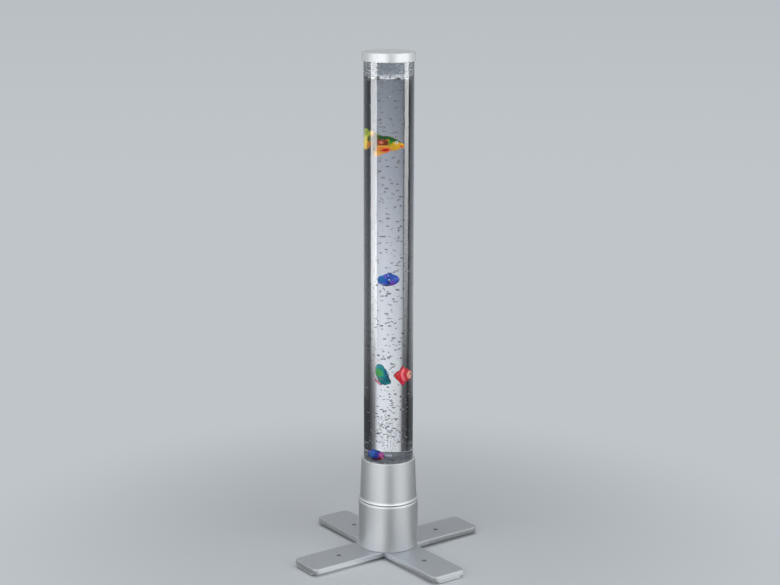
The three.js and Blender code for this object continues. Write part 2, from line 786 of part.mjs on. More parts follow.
// Case: the lower half carries the coil's rest and the arm's pivot post.
const lowerBody = block(caseEnds, caseSides, [caseBottom, caseSplit]);
const lowerHollow = block(innerEnds, innerSides, [caseFloor, caseSplit + cutOverrun]);
const coilRest = block([coilStart, coilEnd], [-halfLeg, halfLeg], [caseFloor - caseWall / 2, coilBottom]);
const postFoot = rod(eyeRadius, caseFloor - caseWall / 2, armLevels[0] - fitGap);
const post = rod(pivotDiameter / 2, caseFloor, armLevels[1] + pivotTop);
const pivotPost = join(postFoot, post).translate([armMiddle, pivotBack, 0]);
add('pump_case_lower', join(cut(lowerBody, lowerHollow), coilRest, pivotPost), greyPlastic, pump);

const upperBody = block(caseEnds, caseSides, [caseSplit, caseTop]);
const upperHollow = block(innerEnds, innerSides, [caseSplit - cutOverrun, caseTop - caseWall]);
const barbHole = rod(barbRadius + fitGap, caseSplit, caseTop + cutOverrun);
const upperHole = barbHole.translate(barbAcross, -diaphragmFront, 0);
add('pump_case_upper', cut(upperBody, upperHollow, upperHole), greyPlastic, pump);

// Lower hose: from the pump's barb, through the deck's hole, to the check valve
const outletX = pumpAcross + barbAcross;
const outletY = pumpBack - diaphragmFront;
const hoseStart = caseTop + fitGap;
const hoseEnd = valveBottom - fitGap;
const bendTop = deckBottom + carrierSpigot / 2;
const bendBottom = hoseStart + hoseStraight;
const lowerHosePoints = [
  [outletX, outletY, hoseStart],
  [outletX, outletY, (hoseStart + bendBottom) / 2],
  [outletX, outletY, bendBottom],
  [outletX / 2, outletY / 2, (bendBottom + bendTop) / 2],
  [0, 0, bendTop],
  [0, 0, (bendTop + hoseEnd) / 2],
  [0, 0, hoseEnd],
];
add('air_hose_lower', pipe(lowerHosePoints, hoseRadius, hoseBore / 2, hoseSides, hoseSteps), silicone);

// Control board, upright in the base plate's ribs

const halfBoard = boardWidth / 2;
const boardTop = plateTop + boardHeight;
const boardPlate = block([-halfBoard, halfBoard], [boardFront, boardRear], [plateTop, boardTop]);
const chipLevels = [boardTop - 2 * chipSize, boardTop - chipSize];
const chip = block([-chipSize, 0], [boardFront - chipThickness, boardFront + boardThickness / 2], chipLevels);
const capacitor = rod(capacitorDiameter / 2, 0, capacitorHeight + boardThickness / 2).rotateX(Math.PI / 2);
const capacitorPlace = [-halfBoard / 2, boardFront + boardThickness / 2, plateTop + boardHeight / 2];
add('control_board', join(boardPlate, chip, capacitor.translate(...capacitorPlace)), circuit);

// Inlet and switch. In their groups +X is the way out through the shell's wall.

// How far out a flat face of this width can lie and still clear the wall's inner side.
function insideWall(width) {
  return Math.sqrt(shellInner ** 2 - (width / 2) ** 2) * Math.cos(Math.PI / roundSteps) - fitGap;
}

function outward(shape) {
  return shape.rotateY(Math.PI / 2).translate(0, 0, inletMiddle);
}

const jack = turnedGroup(jackTurn);
const flangeBack = shellRadius + fitGap;
const jackFace = flangeBack + jackFlangeThickness;
const jackEnd = jackFace - jackBodyLength;
const jackOutline = [
  [0, jackEnd],
  [jackBodyDiameter / 2, jackEnd],
  [jackBodyDiameter / 2, flangeBack],
  [jackFlangeDiameter / 2, flangeBack],
  [jackFlangeDiameter / 2, jackFace],
  [jackBoreDiameter / 2, jackFace],
  [jackBoreDiameter / 2, jackFace - jackBoreDepth],
  [jackPinDiameter / 2, jackFace - jackBoreDepth],
  [jackPinDiameter / 2, jackFace - jackPinShort],
  [0, jackFace - jackPinShort],
];
add('dc_jack', outward(turned(jackOutline)), blackPlastic, jack);

const jackNutFace = insideWall(jackNutWidth * 2 / Math.sqrt(3));
const jackNutEnd = jackNutFace - jackNutThickness;
const jackNutBore = rod(jackBodyDiameter / 2 + fitGap, jackNutEnd - cutOverrun, jackNutFace + cutOverrun);
const jackNutBody = prism(hexagon(jackNutWidth), jackNutEnd, jackNutFace);
add('jack_nut', cut(outward(jackNutBody), outward(jackNutBore)), steel, jack);

const power = turnedGroup(switchTurn);
const bezelFace = flangeBack + switchBezelThickness;
const switchEnd = bezelFace - switchBodyLength;
const pocketRadius = buttonDiameter / 2 + fitGap;
const pocketEnd = bezelFace - buttonPocketDepth;
const switchOutline = [
  [0, switchEnd],
  [switchBodyDiameter / 2, switchEnd],
  [switchBodyDiameter / 2, flangeBack],
  [switchBezelDiameter / 2, flangeBack],
  [switchBezelDiameter / 2, bezelFace],
  [pocketRadius, bezelFace],
  [pocketRadius, pocketEnd],
  [0, pocketEnd],
];
add('switch_body', outward(turned(switchOutline)), blackPlastic, power);

const buttonFace = bezelFace + buttonStandOut;
const buttonEnd = pocketEnd + buttonTravel + fitGap;
const buttonOutline = [
  [0, buttonEnd],
  [buttonDiameter / 2, buttonEnd],
  [buttonDiameter / 2, buttonFace - buttonEdgeRound],
  [buttonDiameter / 2 - buttonEdgeRound, buttonFace],
  [0, buttonFace],
];
add('switch_button', outward(turned(buttonOutline)), greyPlastic, power);

// Wires: each starts and ends just clear of the face that it is soldered to.

function wire(name, points) {
  add(name, pipe(points, wireRadius, 0, wireSides, wireSteps), rubber);
}

function radialPoint(radius, degrees) {
  const angle = THREE.MathUtils.degToRad(degrees);
  return [radius * Math.cos(angle), radius * Math.sin(angle), inletMiddle];
}

function wireFromWall(name, innerEnd, degrees, across) {
  const rear = boardRear + fitGap;
  wire(name, [
    radialPoint(innerEnd - fitGap, degrees),
    radialPoint(innerEnd - wireStraight, degrees),
    [across, rear + wireStraight, inletMiddle],
    [across, rear, inletMiddle],
  ]);
}

wireFromWall('wire_jack', jackEnd, jackTurn, -halfBoard / 2);
wireFromWall('wire_switch', switchEnd, switchTurn, halfBoard / 4);

const caseRear = pumpBack + caseWidth / 2;
const pumpWireLevel = (caseBottom + caseSplit) / 2;
wire('wire_pump', [
  [halfBoard / 2, boardFront - fitGap, pumpWireLevel],
  [halfBoard / 2, (boardFront + caseRear) / 2, pumpWireLevel],
  [halfBoard / 2, caseRear + fitGap, pumpWireLevel],
]);

const boardMiddle = (boardFront + boardRear) / 2;
const deckHoleBack = (hoseRadius + deckHoleDiameter / 2) / 2;
wire('wire_led', [
  [halfBoard / 4, boardMiddle, boardTop + fitGap],
  [halfBoard / 4, boardMiddle, boardTop + 2 * wireStraight],
  [0, deckHoleBack, deckBottom],
  [0, deckHoleBack + wireStraight / 4, deckTop],
  [0, valveDiameter / 2 + wireBow, valveBottom],
  [0, valveDiameter / 2 + wireBow, valveTop],
  [0, valveDiameter / 2 + wireBow, ledgeTop - fitGap],
]);

// Fish: a rounded body with a forked tail and two fins, head towards its own +X

function finPlate(points) {
  const shape = new THREE.Shape(points.map(([x, z]) => new THREE.Vector2(x, z)));
  const plate = prism(shape, -fishFinThickness / 2, fishFinThickness / 2);
  return plate.rotateX(Math.PI / 2);
}

const bodyShare = 0.76; // of the fish's length
const tailRootShare = 0.3; // of the body's half length, from its rear end
const tailForkShare = 0.1; // of the fish's length
const finRunShare = 0.62; // of the body's half length
const finRootShare = 0.55; // of the body's half height

function fishShape({ length, height, thickness, tail, fin }) {
  const halfBody = (length * bodyShare) / 2;
  const bodyMiddle = length / 2 - halfBody;
  const body = new THREE.SphereGeometry(1, fishRoundSteps, fishRoundSteps / 2)
    .scale(halfBody, thickness / 2, height / 2)
    .translate(bodyMiddle, 0, 0);
  const rear = -length / 2;
  const root = bodyMiddle - halfBody * (1 - tailRootShare);
  const tailFin = finPlate([[rear, -tail / 2], [root, 0], [rear, tail / 2], [rear + length * tailForkShare, 0]]);
  const run = halfBody * finRunShare;
  const rootLevel = (height / 2) * finRootShare;
  const fins = [-1, 1].map((side) => {
    const tip = side * (height / 2 + fin);
    const outline = [
      [bodyMiddle - run, side * rootLevel],
      [bodyMiddle + run, side * rootLevel],
      [bodyMiddle, tip],
      [bodyMiddle - run, tip - side * fin / 2],
    ];
    return finPlate(side > 0 ? outline : outline.reverse());
  });
  return join(body, tailFin, ...fins);
}

for (const fish of fishList) {
  const lying = floorTop + fish.height / 2 + fish.fin + fitGap;
  const level = fish.upShare === null ? lying : floorTop + fish.upShare * (tubeTop - floorTop);
  const place = new THREE.Group();
  place.position.set(fish.acrossShare * boreRadius, fish.backShare * boreRadius, level);
  place.rotation.set(0, 0, THREE.MathUtils.degToRad(fish.yaw));
  lamp.add(place);
  const mesh = add(fish.name, fishShape(fish), finish(fish.colour, 0.35, 0), place);
  mesh.rotation.y = THREE.MathUtils.degToRad(fish.pitch);
}

export default lamp;
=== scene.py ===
import json
import math
import random

import bmesh
import bpy
from mathutils import Euler, Matrix, Vector, noise


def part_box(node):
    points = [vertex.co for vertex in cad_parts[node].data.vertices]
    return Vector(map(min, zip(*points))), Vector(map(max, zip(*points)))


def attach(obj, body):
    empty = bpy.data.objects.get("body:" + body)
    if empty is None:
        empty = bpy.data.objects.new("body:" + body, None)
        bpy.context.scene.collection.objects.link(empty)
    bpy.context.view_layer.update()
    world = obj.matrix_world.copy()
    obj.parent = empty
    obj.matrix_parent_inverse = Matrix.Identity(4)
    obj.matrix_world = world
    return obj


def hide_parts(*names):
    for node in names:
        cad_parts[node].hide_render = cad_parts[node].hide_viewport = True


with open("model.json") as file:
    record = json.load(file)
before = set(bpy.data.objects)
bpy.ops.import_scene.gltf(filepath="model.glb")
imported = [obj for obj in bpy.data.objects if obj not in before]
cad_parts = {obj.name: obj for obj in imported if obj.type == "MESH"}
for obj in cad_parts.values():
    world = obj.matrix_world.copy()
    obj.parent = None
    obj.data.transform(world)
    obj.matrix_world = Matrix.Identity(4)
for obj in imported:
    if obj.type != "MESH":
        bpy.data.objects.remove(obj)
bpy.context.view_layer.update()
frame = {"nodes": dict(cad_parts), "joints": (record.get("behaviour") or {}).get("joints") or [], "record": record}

mm = 0.001
waterLevel = 1.074  # above the ground
scene = bpy.context.scene
scene.view_settings.view_transform = "Standard"


def toLinear(level):
    share = level / 255
    return share / 12.92 if share <= 0.04045 else ((share + 0.055) / 1.055) ** 2.4


def tone(red, green, blue):
    # a colour given as it looks on a screen, from 0 to 255
    return (toLinear(red), toLinear(green), toLinear(blue), 1)


def grey(level):
    return (level, level, level, 1)


def newObject(name, data):
    made = bpy.data.objects.new(name, data)
    scene.collection.objects.link(made)
    return made


# Camera

view = {
    "place": (0.0016, -3.5778, 1.4305),
    "downward": 13.03,  # degrees below level
    "roll": -0.107,
    "lens": 76.94,
    "sensor": 36,
}


def addCamera():
    data = bpy.data.cameras.new("camera")
    data.lens = view["lens"]
    data.sensor_width = view["sensor"]
    camera = newObject("camera", data)
    camera.location = view["place"]
    camera.rotation_euler = (math.radians(90 - view["downward"]), math.radians(view["roll"]), 0)
    scene.camera = camera


addCamera()
print("camera placed")


# Shader maths

class Knot:
    # one output of a shader node: a sum or product of knots adds Math nodes
    def __init__(self, paint, socket):
        self.paint = paint
        self.socket = socket

    def maths(self, operation, *values):
        return self.paint.maths(operation, *values)

    def __add__(self, other):
        return self.maths("ADD", self, other)

    def __radd__(self, other):
        return self.maths("ADD", other, self)

    def __sub__(self, other):
        return self.maths("SUBTRACT", self, other)

    def __rsub__(self, other):
        return self.maths("SUBTRACT", other, self)

    def __mul__(self, other):
        return self.maths("MULTIPLY", self, other)

    def __rmul__(self, other):
        return self.maths("MULTIPLY", other, self)

    def __truediv__(self, other):
        return self.maths("DIVIDE", self, other)


class Paint:
    # one node tree, with one method for every kind of node
    def __init__(self, owner):
        owner.use_nodes = True
        self.tree = owner.node_tree
        self.tree.nodes.clear()

    def node(self, kind, settings=None, inputs=None, output=0):
        made = self.tree.nodes.new(kind)
        for key, value in (settings or {}).items():
            if key == "stops":
                self.setStops(made.color_ramp, value)
            else:
                setattr(made, key, value)
        for key, value in (inputs or {}).items():
            if isinstance(value, Knot):
                self.tree.links.new(value.socket, made.inputs[key])
            else:
                made.inputs[key].default_value = value
        return Knot(self, made.outputs[output]) if made.outputs else made

    def setStops(self, ramp, stops):
        while len(ramp.elements) < len(stops):
            ramp.elements.new(1)
        for element, (place, colour) in zip(ramp.elements, stops):
            element.position = place
            element.color = colour

    def points(self):
        return self.node("ShaderNodeTexCoord", output="Object")

    def framed(self, vector, **home):
        # a place in the axes of a home with this Location, Rotation and Scale
        return self.node("ShaderNodeMapping", {"vector_type": "TEXTURE"}, {"Vector": vector, **home})

    def axes(self, vector):
        return [self.node("ShaderNodeSeparateXYZ", {}, {0: vector}, axis) for axis in ("X", "Y", "Z")]

    def maths(self, operation, *values):
        return self.node("ShaderNodeMath", {"operation": operation}, dict(enumerate(values)))

    def away(self, x, y):
        return self.maths("SQRT", x * x + y * y)

    def mottle(self, scale, detail=2, stretch=(1, 1, 1)):
        # noise from 0 to 1, with scale in patches per metre
        placed = self.node("ShaderNodeMapping", {}, {"Vector": self.points(), "Scale": stretch})
        wanted = {"Vector": placed, "Scale": scale, "Detail": detail}
        return self.node("ShaderNodeTexNoise", {}, wanted, "Fac")

    def between(self, value, low, high):
        # 0 below low, 1 above high, smooth on the way
        wanted = {"Value": value, "From Min": low, "From Max": high}
        return self.node("ShaderNodeMapRange", {"interpolation_type": "SMOOTHSTEP"}, wanted)

    def blend(self, share, first, second, kind="MIX"):
        # colours, from the first at 0 to the second at 1
        settings = {"data_type": "RGBA", "blend_type": kind}
        return self.node("ShaderNodeMix", settings, {0: share, 6: first, 7: second}, 2)

    def ramp(self, value, stops):
        return self.node("ShaderNodeValToRGB", {"stops": stops}, {0: value})

    def bump(self, height, distance, strength=1):
        wanted = {"Height": height, "Distance": distance, "Strength": strength}
        return self.node("ShaderNodeBump", {}, wanted)

    def glow(self, colour, strength=1):
        return self.node("ShaderNodeEmission", {}, {"Color": colour, "Strength": strength})

    def mix(self, share, first, second):
        # shaders, from the first at 0 to the second at 1
        return self.node("ShaderNodeMixShader", {}, {0: share, 1: first, 2: second})

    def surface(self, shader, owner="Material"):
        self.node("ShaderNodeOutput" + owner, {}, {"Surface": shader})


def newMaterial(name, build):
    material = bpy.data.materials.new(name)
    paint = Paint(material)
    paint.surface(build(paint))
    return material


def newFinish(name, build):
    return newMaterial(name, lambda paint: paint.node("ShaderNodeBsdfPrincipled", {}, build(paint)))


# Finishes

def grained(colour, shade, roughness, grain=900, depth=0.03):
    # two close shades in soft clouds, with a fine grain in the roughness and the relief
    def build(paint):
        clouds = paint.mottle(14, 3)
        fine = paint.mottle(grain)
        return {
            "Base Color": paint.blend(clouds, colour, shade),
            "Roughness": roughness + (clouds - 0.5) * 0.06 + (fine - 0.5) * 0.08,
            "Normal": paint.bump(fine, depth * mm),
        }

    return build


# the countersunk holes in the legs, which get painted shade, and the bars' sides up to their softened top edge, in
# a lighter tone than their tops
holes = {"turn": 36.08, "reach": 136 * mm, "radius": 5.4 * mm, "soft": 0.2 * mm, "shade": tone(82, 86, 92)}
barSides = {"top": 17 * mm, "soft": 0.6 * mm, "shade": tone(197, 202, 206)}


def legAxes(paint):
    # a place along the rear right leg, across it and up
    return paint.axes(paint.framed(paint.points(), Rotation=(0, 0, math.radians(holes["turn"]))))


def sinkPaintedShade(paint):
    # 1 inside the holes near the ends of the four legs, where shade is painted
    x, y, z = legAxes(paint)
    along, beside = [paint.maths("ABSOLUTE", place) for place in (x, y)]
    far = paint.maths("MAXIMUM", along, beside) - holes["reach"]
    away = paint.away(far, paint.maths("MINIMUM", along, beside))
    return 1 - paint.between(away, holes["radius"], holes["radius"] + holes["soft"])


def barShades(paint, flaked):
    x, y, z = paint.axes(paint.points())
    # the tops keep the lacquer's tone, and the sides below the softened top edge take a lighter one
    onTop = paint.between(z, barSides["top"], barSides["top"] + barSides["soft"])
    # painted shade in the countersunk holes, laid over both tones of the bar
    return paint.blend(sinkPaintedShade(paint), paint.blend(onTop, barSides["shade"], flaked), holes["shade"])


def satinLacquer(colour, shade, roughness, sunk=False):
    # silver lacquer: metal flakes under a thin clear coat, a little dust and a few hairline marks
    def build(paint):
        flakes = paint.node("ShaderNodeTexVoronoi", {}, {"Vector": paint.points(), "Scale": 1500}, "Color")
        sparkle = paint.node("ShaderNodeSeparateColor", {}, {0: flakes})
        clouds = paint.mottle(9, 3)
        marks = paint.between(paint.mottle(60, 4, (1, 1, 0.06)), 0.62, 0.8)
        worn = paint.blend(marks * 0.18, paint.blend(clouds, colour, shade), tone(226, 228, 230))
        flaked = paint.blend(sparkle * 0.16, worn, tone(150, 155, 160))
        return {
            "Base Color": barShades(paint, flaked) if sunk else flaked,
            "Metallic": 0.86,
            "Roughness": roughness + (clouds - 0.5) * 0.05 + (sparkle - 0.5) * 0.1 - marks * 0.05,
            "Coat Weight": 0.15,
            "Coat Roughness": 0.35,
            "Normal": paint.bump(paint.mottle(1100), 0.02 * mm),
        }

    return build


def brushedSteel(colour, shade):
    def build(paint):
        strokes = paint.mottle(500, 3, (1, 1, 0.03))
        return {
            "Base Color": paint.blend(strokes, colour, shade),
            "Metallic": 1,
            "Roughness": 0.28 + strokes * 0.14,
            "Normal": paint.bump(strokes, 0.01 * mm),
        }

    return build


mist = {"rise": 6 * mm, "wall": (52.5 * mm, 54 * mm)}  # above the water, on the wall's inside


def clearAcrylic(paint):
    # clear below the water line, and misted by small drops above it
    haze = paint.mottle(40, 3)
    x, y, z = paint.axes(paint.points())
    inside = 1 - paint.between(paint.away(x, y), *mist["wall"])
    above = paint.between(z, waterLevel, waterLevel + mist["rise"])
    drops = paint.between(paint.mottle(260, 3), 0.35, 0.65)
    return {
        "Base Color": paint.blend(haze, (0.985, 0.99, 0.992, 1), (0.995, 0.998, 0.998, 1)),
        "Roughness": inside * above * drops * 0.3,
        "IOR": 1.49,
        "Transmission Weight": 1,
    }


def clearWater(paint):
    drift = paint.mottle(30)
    return {
        "Base Color": paint.blend(drift, (0.985, 0.993, 0.998, 1), (0.996, 0.998, 0.999, 1)),
        "Roughness": 0.0,
        "IOR": 1.333,
        "Transmission Weight": 1,
    }


# white foam with a painted glow: its emission brightens it though it is no lamp
def whiteBubbles(paint):
    cells = paint.mottle(700)
    return {
        "Base Color": paint.blend(cells, tone(230, 235, 240), tone(250, 251, 253)),
        "Roughness": 0.15 + cells * 0.2,
        "Emission Color": paint.blend(cells, tone(150, 158, 166), tone(196, 202, 208)),
        "Emission Strength": 0.4,
        "Normal": paint.bump(cells, 0.05 * mm),
    }


def frostedFloor(paint):
    # grey acrylic with lime flecks, splashes and the rings that bubbles leave
    stains = paint.mottle(70, 4)
    flecks = paint.between(paint.mottle(320, 3), 0.56, 0.68)
    ground = paint.blend(paint.between(stains, 0.35, 0.65), tone(46, 51, 58), tone(106, 112, 118))
    return {
        "Base Color": paint.blend(flecks * 0.55, ground, tone(196, 202, 208)),
        "Roughness": 0.32 + stains * 0.25,
        "Normal": paint.bump(stains + flecks * 0.4, 0.3 * mm),
    }


def porousStone(paint):
    pores = paint.node("ShaderNodeTexVoronoi", {}, {"Vector": paint.points(), "Scale": 900}, "Distance")
    return {
        "Base Color": paint.blend(paint.between(pores, 0.1, 0.5), tone(92, 106, 122), tone(176, 188, 200)),
        "Roughness": 0.85 + pores * 0.1,
        "Normal": paint.bump(pores, 0.35 * mm),
    }


def circuitBoard(paint):
    # solder mask over tracks that run along and across
    x, y, z = paint.axes(paint.points())
    along = paint.maths("PINGPONG", x + y, 1.6 * mm)
    across = paint.maths("PINGPONG", z, 2.1 * mm)
    tracks = paint.between(paint.mottle(180, 0) + along * 90 - across * 60, 0.52, 0.56)
    return {
        "Base Color": paint.blend(tracks, tone(18, 84, 44), tone(34, 122, 66)),
        "Roughness": 0.38 - tracks * 0.06,
        "Normal": paint.bump(tracks, 0.03 * mm),
    }


def woundCopper(paint):
    x, y, z = paint.axes(paint.points())
    wire = 0.3 * mm
    turns = paint.maths("PINGPONG", x, wire)
    return {
        "Base Color": paint.blend(paint.between(turns, 0, wire), tone(104, 46, 22), tone(206, 118, 66)),
        "Metallic": 0.9,
        "Roughness": 0.34 + paint.mottle(300) * 0.1,
        "Normal": paint.bump(turns * 1000, 0.2 * mm),
    }


def siliconeHose(paint):
    clouds = paint.mottle(90, 3)
    return {
        "Base Color": paint.blend(clouds, tone(196, 204, 206), tone(226, 231, 232)),
        "Roughness": 0.32 + clouds * 0.1,
        "Transmission Weight": 0.25,
    }


def ledLens(paint):
    clouds = paint.mottle(400)
    return {
        "Base Color": paint.blend(clouds, tone(214, 218, 224), tone(240, 242, 244)),
        "Roughness": 0.12 + clouds * 0.1,
        "Transmission Weight": 0.3,
    }


looks = {
    "silver_shell": ("satinSilver", satinLacquer(tone(205, 208, 210), tone(193, 197, 200), 0.45)),
    "silver_cross": ("satinBar", satinLacquer(tone(178, 183, 188), tone(165, 171, 177), 0.45, sunk=True)),
    "silver_foot": ("footSilver", satinLacquer(tone(200, 204, 206), tone(186, 191, 194), 0.45)),
    "clear_tube": ("clearAcrylic", clearAcrylic),
    "frosted_floor": ("frostedFloor", frostedFloor),
    "rubber": ("blackRubber", grained(tone(30, 30, 32), tone(42, 42, 44), 0.82, grain=1200, depth=0.08)),
    "steel": ("zincSteel", brushedSteel(tone(176, 176, 178), tone(204, 204, 205))),
    "copper_coil": ("woundCopper", woundCopper),
    "black_plastic": ("blackPlastic", grained(tone(26, 27, 29), tone(36, 37, 40), 0.52)),
    "grey_plastic": ("greyPlastic", grained(tone(108, 111, 115), tone(124, 127, 131), 0.5)),
    "white_plastic": ("whitePlastic", grained(tone(222, 223, 220), tone(234, 234, 231), 0.34)),
    "led_lens": ("ledLens", ledLens),
    "air_stone": ("porousStone", porousStone),
    "circuit_board": ("circuitBoard", circuitBoard),
    "silicone_hose": ("siliconeHose", siliconeHose),
    "wire_sleeve": ("wireSleeve", grained(tone(24, 24, 26), tone(36, 36, 38), 0.45)),
    "water": ("clearWater", clearWater),
    "fine_bubbles": ("whiteBubbles", whiteBubbles),
}
finishes = {slot: newFinish(*look) for slot, look in looks.items()}


def dressNodes():
    # every CAD node gets its slot's finish; the fish are replaced further down
    for entry in frame["record"]["subparts"]:
        node = frame["nodes"][entry["node"]]
        finish = finishes.get(entry["material_slot"])
        if finish:
            node.data.materials.clear()
            node.data.materials.append(finish)


dressNodes()
print("finishes made")


# Mesh helpers

def addPiece(name, form, body, slot, nodes=(), finish=None, sharp=32):
    mesh = meshOf(form, name)
    mesh.shade_smooth()
    mesh.set_sharp_from_angle(angle=math.radians(sharp))
    mesh.materials.append(finish or finishes[slot])
    piece = newObject(name, mesh)
    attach(piece, body)
    slot in {entry["slot"] for entry in frame["record"]["materials"]}
    if nodes:
        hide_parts(*nodes)
    return piece


def held(corners, closed, reach=2 * mm):
    # extra points near the ends of long straight lines keep the shading of a wall straight
    found = []
    ends = corners[1:] + (corners[:1] if closed else [])
    for start, end in zip(corners, ends):
        found.append(start)
        long = math.dist(start, end)
        if long > 3 * reach:
            for share in (reach / long, 1 - reach / long):
                found.append(tuple(a + (b - a) * share for a, b in zip(start, end)))
    return found if closed else [*found, corners[-1]]


def turn(corners, steps, closed=True):
    # spins an outline of (radius, height) about Z; an open outline starts and ends on the axis
    form = bmesh.new()
    points = [form.verts.new((radius, 0, height)) for radius, height in held(corners, closed)]
    pairs = list(zip(points, points[1:])) + ([(points[-1], points[0])] if closed else [])
    lines = [form.edges.new(pair) for pair in pairs]
    wanted = {"cent": (0, 0, 0), "axis": (0, 0, 1), "angle": 2 * math.pi, "steps": steps}
    bmesh.ops.spin(form, geom=points + lines, use_merge=True, **wanted)
    bmesh.ops.remove_doubles(form, verts=form.verts, dist=1e-6)
    bmesh.ops.recalc_face_normals(form, faces=form.faces)
    return form


def roundRing(form, radius, height, amount, segments):
    # rounds the ring edge at this radius and height
    def onRing(point):
        return abs(math.hypot(point.co.x, point.co.y) - radius) < 1e-5 and abs(point.co.z - height) < 1e-5

    ring = [edge for edge in form.edges if all(onRing(point) for point in edge.verts)]
    bevel(form, ring, amount, segments)


def bevel(form, geom, amount, segments, affect="EDGES"):
    settings = {"offset": amount, "segments": segments, "profile": 0.5, "affect": affect, "material": -1}
    return bmesh.ops.bevel(form, geom=geom, offset_type="OFFSET", clamp_overlap=True, **settings)


def move(form, matrix, points=None):
    bmesh.ops.transform(form, matrix=matrix, verts=points or form.verts[:])


def plate(length, width, bottom, top, corner, edgeRound, cornerSteps=8, edgeSteps=3):
    # a flat bar or block with round corners in plan and softened edges
    form = bmesh.new()
    bmesh.ops.create_grid(form, x_segments=1, y_segments=1, size=0.5)
    move(form, Matrix.Diagonal((length, width, 1, 1)))
    move(form, Matrix.Translation((0, 0, bottom)))
    bevel(form, form.verts[:], corner, cornerSteps, "VERTICES")
    lifted = bmesh.ops.extrude_face_region(form, geom=form.faces[:])["geom"]
    upper = [item for item in lifted if isinstance(item, bmesh.types.BMVert)]
    move(form, Matrix.Translation((0, 0, top - bottom)), upper)
    bmesh.ops.recalc_face_normals(form, faces=form.faces)
    rims = [edge for edge in form.edges if abs(edge.verts[0].co.z - edge.verts[1].co.z) < 1e-6]
    bevel(form, rims, edgeRound, edgeSteps)
    flats = sorted(form.faces, key=lambda face: face.calc_area())[-2:]
    bmesh.ops.inset_individual(form, faces=flats, thickness=1 * mm, use_even_offset=True)
    return form


def turnedAbout(degrees):
    return Matrix.Rotation(math.radians(degrees), 4, "Z")


def meshOf(form, name="tool"):
    mesh = bpy.data.meshes.new(name)
    form.to_mesh(mesh)
    form.free()
    return mesh


def shaped(block, *helpers):
    # the form that a block's modifiers give it; the block and its helpers go
    bpy.context.view_layer.update()
    graph = bpy.context.evaluated_depsgraph_get()
    result = bmesh.new()
    result.from_mesh(block.evaluated_get(graph).to_mesh())
    for item in (block, *helpers):
        bpy.data.objects.remove(item)
    return result


def carve(form, tools):
    block = newObject("block", meshOf(form))
    cutters = []
    for tool in tools:
        cutters.append(newObject("cutter", meshOf(tool)))
        change = block.modifiers.new("cut", "BOOLEAN")
        change.operation = "DIFFERENCE"
        change.solver = "EXACT"
        change.object = cutters[-1]
    return shaped(block, *cutters)


def across(node):
    low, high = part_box(node)
    return (high.x - low.x) / 2


def levels(node):
    low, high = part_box(node)
    return low.z, high.z


def addTurned(name, node, corners, rings, slot="silver_shell", steps=224, closed=True, body="base_and_tube"):
    # a turned piece; rings are edges to round, by radius, height, amount and segments
    form = turn(corners, steps, closed)
    for ring in rings:
        roundRing(form, *ring)
    return addPiece(name, form, body, slot, [node])


# Base: lower shell and upper collar

shell = {
    "wall": 2.5 * mm,
    # mm in and down
    "rolled": [(0, 5.4), (0.12, 4.4), (0.45, 3.4), (1, 2.5), (1.6, 1.8), (2.1, 1.3), (2.4, 0.5)],
    "flange": 12.5 * mm,
    "round": 1.4 * mm,
}
collar = {
    "wall": 2.5 * mm,
    "rim": 60.5 * mm,  # radius at its top
    "waist": 63.75 * mm,  # radius above its flare
    "hem": 1.5 * mm,
    "inset": 0.5 * mm,  # the hem's edge behind the shell's side
    "flare": 6.5 * mm,
    "rimRound": 0.8 * mm,
    "lip": 1.4 * mm,  # inward at the rim, up to the tube
    "lipGap": 0.3 * mm,
    "coveSteps": 10,
}


def addLowerShell():
    radius = across("lower_shell")
    bottom, top = levels("lower_shell")
    inner = radius - shell["wall"]
    hole = inner - shell["flange"]
    ledge = bottom + shell["wall"]
    rolled = [(radius - along * mm, top - down * mm) for along, down in shell["rolled"]]
    corners = [(hole, bottom), (radius, bottom), *rolled, (inner, top), (inner, ledge), (hole, ledge)]
    addTurned("lowerShell", "lower_shell", corners, [(radius, bottom, shell["round"], 3)])


def addUpperCollar():
    radius = across("upper_collar") - collar["inset"]
    bottom, top = levels("upper_collar")
    hem = bottom + collar["hem"]
    flareTop = hem + collar["flare"]
    inner = collar["waist"] - collar["wall"]
    mouth = across("acrylic_tube") + collar["lipGap"]
    cove = []
    start, end = (radius, hem), (collar["waist"], flareTop)
    corner = (collar["waist"], hem + collar["flare"] / 3)
    for step in range(collar["coveSteps"] + 1):
        share = step / collar["coveSteps"]
        near, middle, far = (1 - share) ** 2, 2 * share * (1 - share), share**2
        cove.append(tuple(near * start[i] + middle * corner[i] + far * end[i] for i in (0, 1)))
    corners = [
        (radius - collar["wall"], bottom),
        (radius, bottom),
        *cove,
        (collar["rim"], top),
        (mouth, top),
        (mouth, top - collar["lip"]),
        (collar["rim"] - collar["wall"], top - 1.5 * collar["lip"]),
        (inner, flareTop),
        (inner, hem),
    ]
    rings = [
        (collar["rim"], top, collar["rimRound"], 4),
        (mouth, top, collar["rimRound"] / 2, 3),
        (radius, bottom, collar["hem"] / 4, 2),
    ]
    addTurned("upperCollar", "upper_collar", corners, rings)


addLowerShell()
addUpperCollar()


# Cross and feet

cross = {
    "turn": holes["turn"],
    "length": 457 * mm,
    "width": 85 * mm,
    "corner": 12.5 * mm,
    "edge": 1.2 * mm,
    "hole": 5.2 * mm,
    "sink": 10.4 * mm,
    "screwReach": 26 * mm,
    "screwHole": 5.6 * mm,
    "screwSink": 10.6 * mm,
    "gap": 0.3 * mm,
    "drillSteps": 48,
}
foot = {
    "width": 59 * mm,
    "length": 34 * mm,
    "corner": 1.6 * mm,
    "edges": {"Block": 0.5 * mm, "Pad": 0.25 * mm},
    "insets": {"Block": 0, "Pad": 2 * mm},
    "slots": {"Block": "silver_foot", "Pad": "rubber"},
}


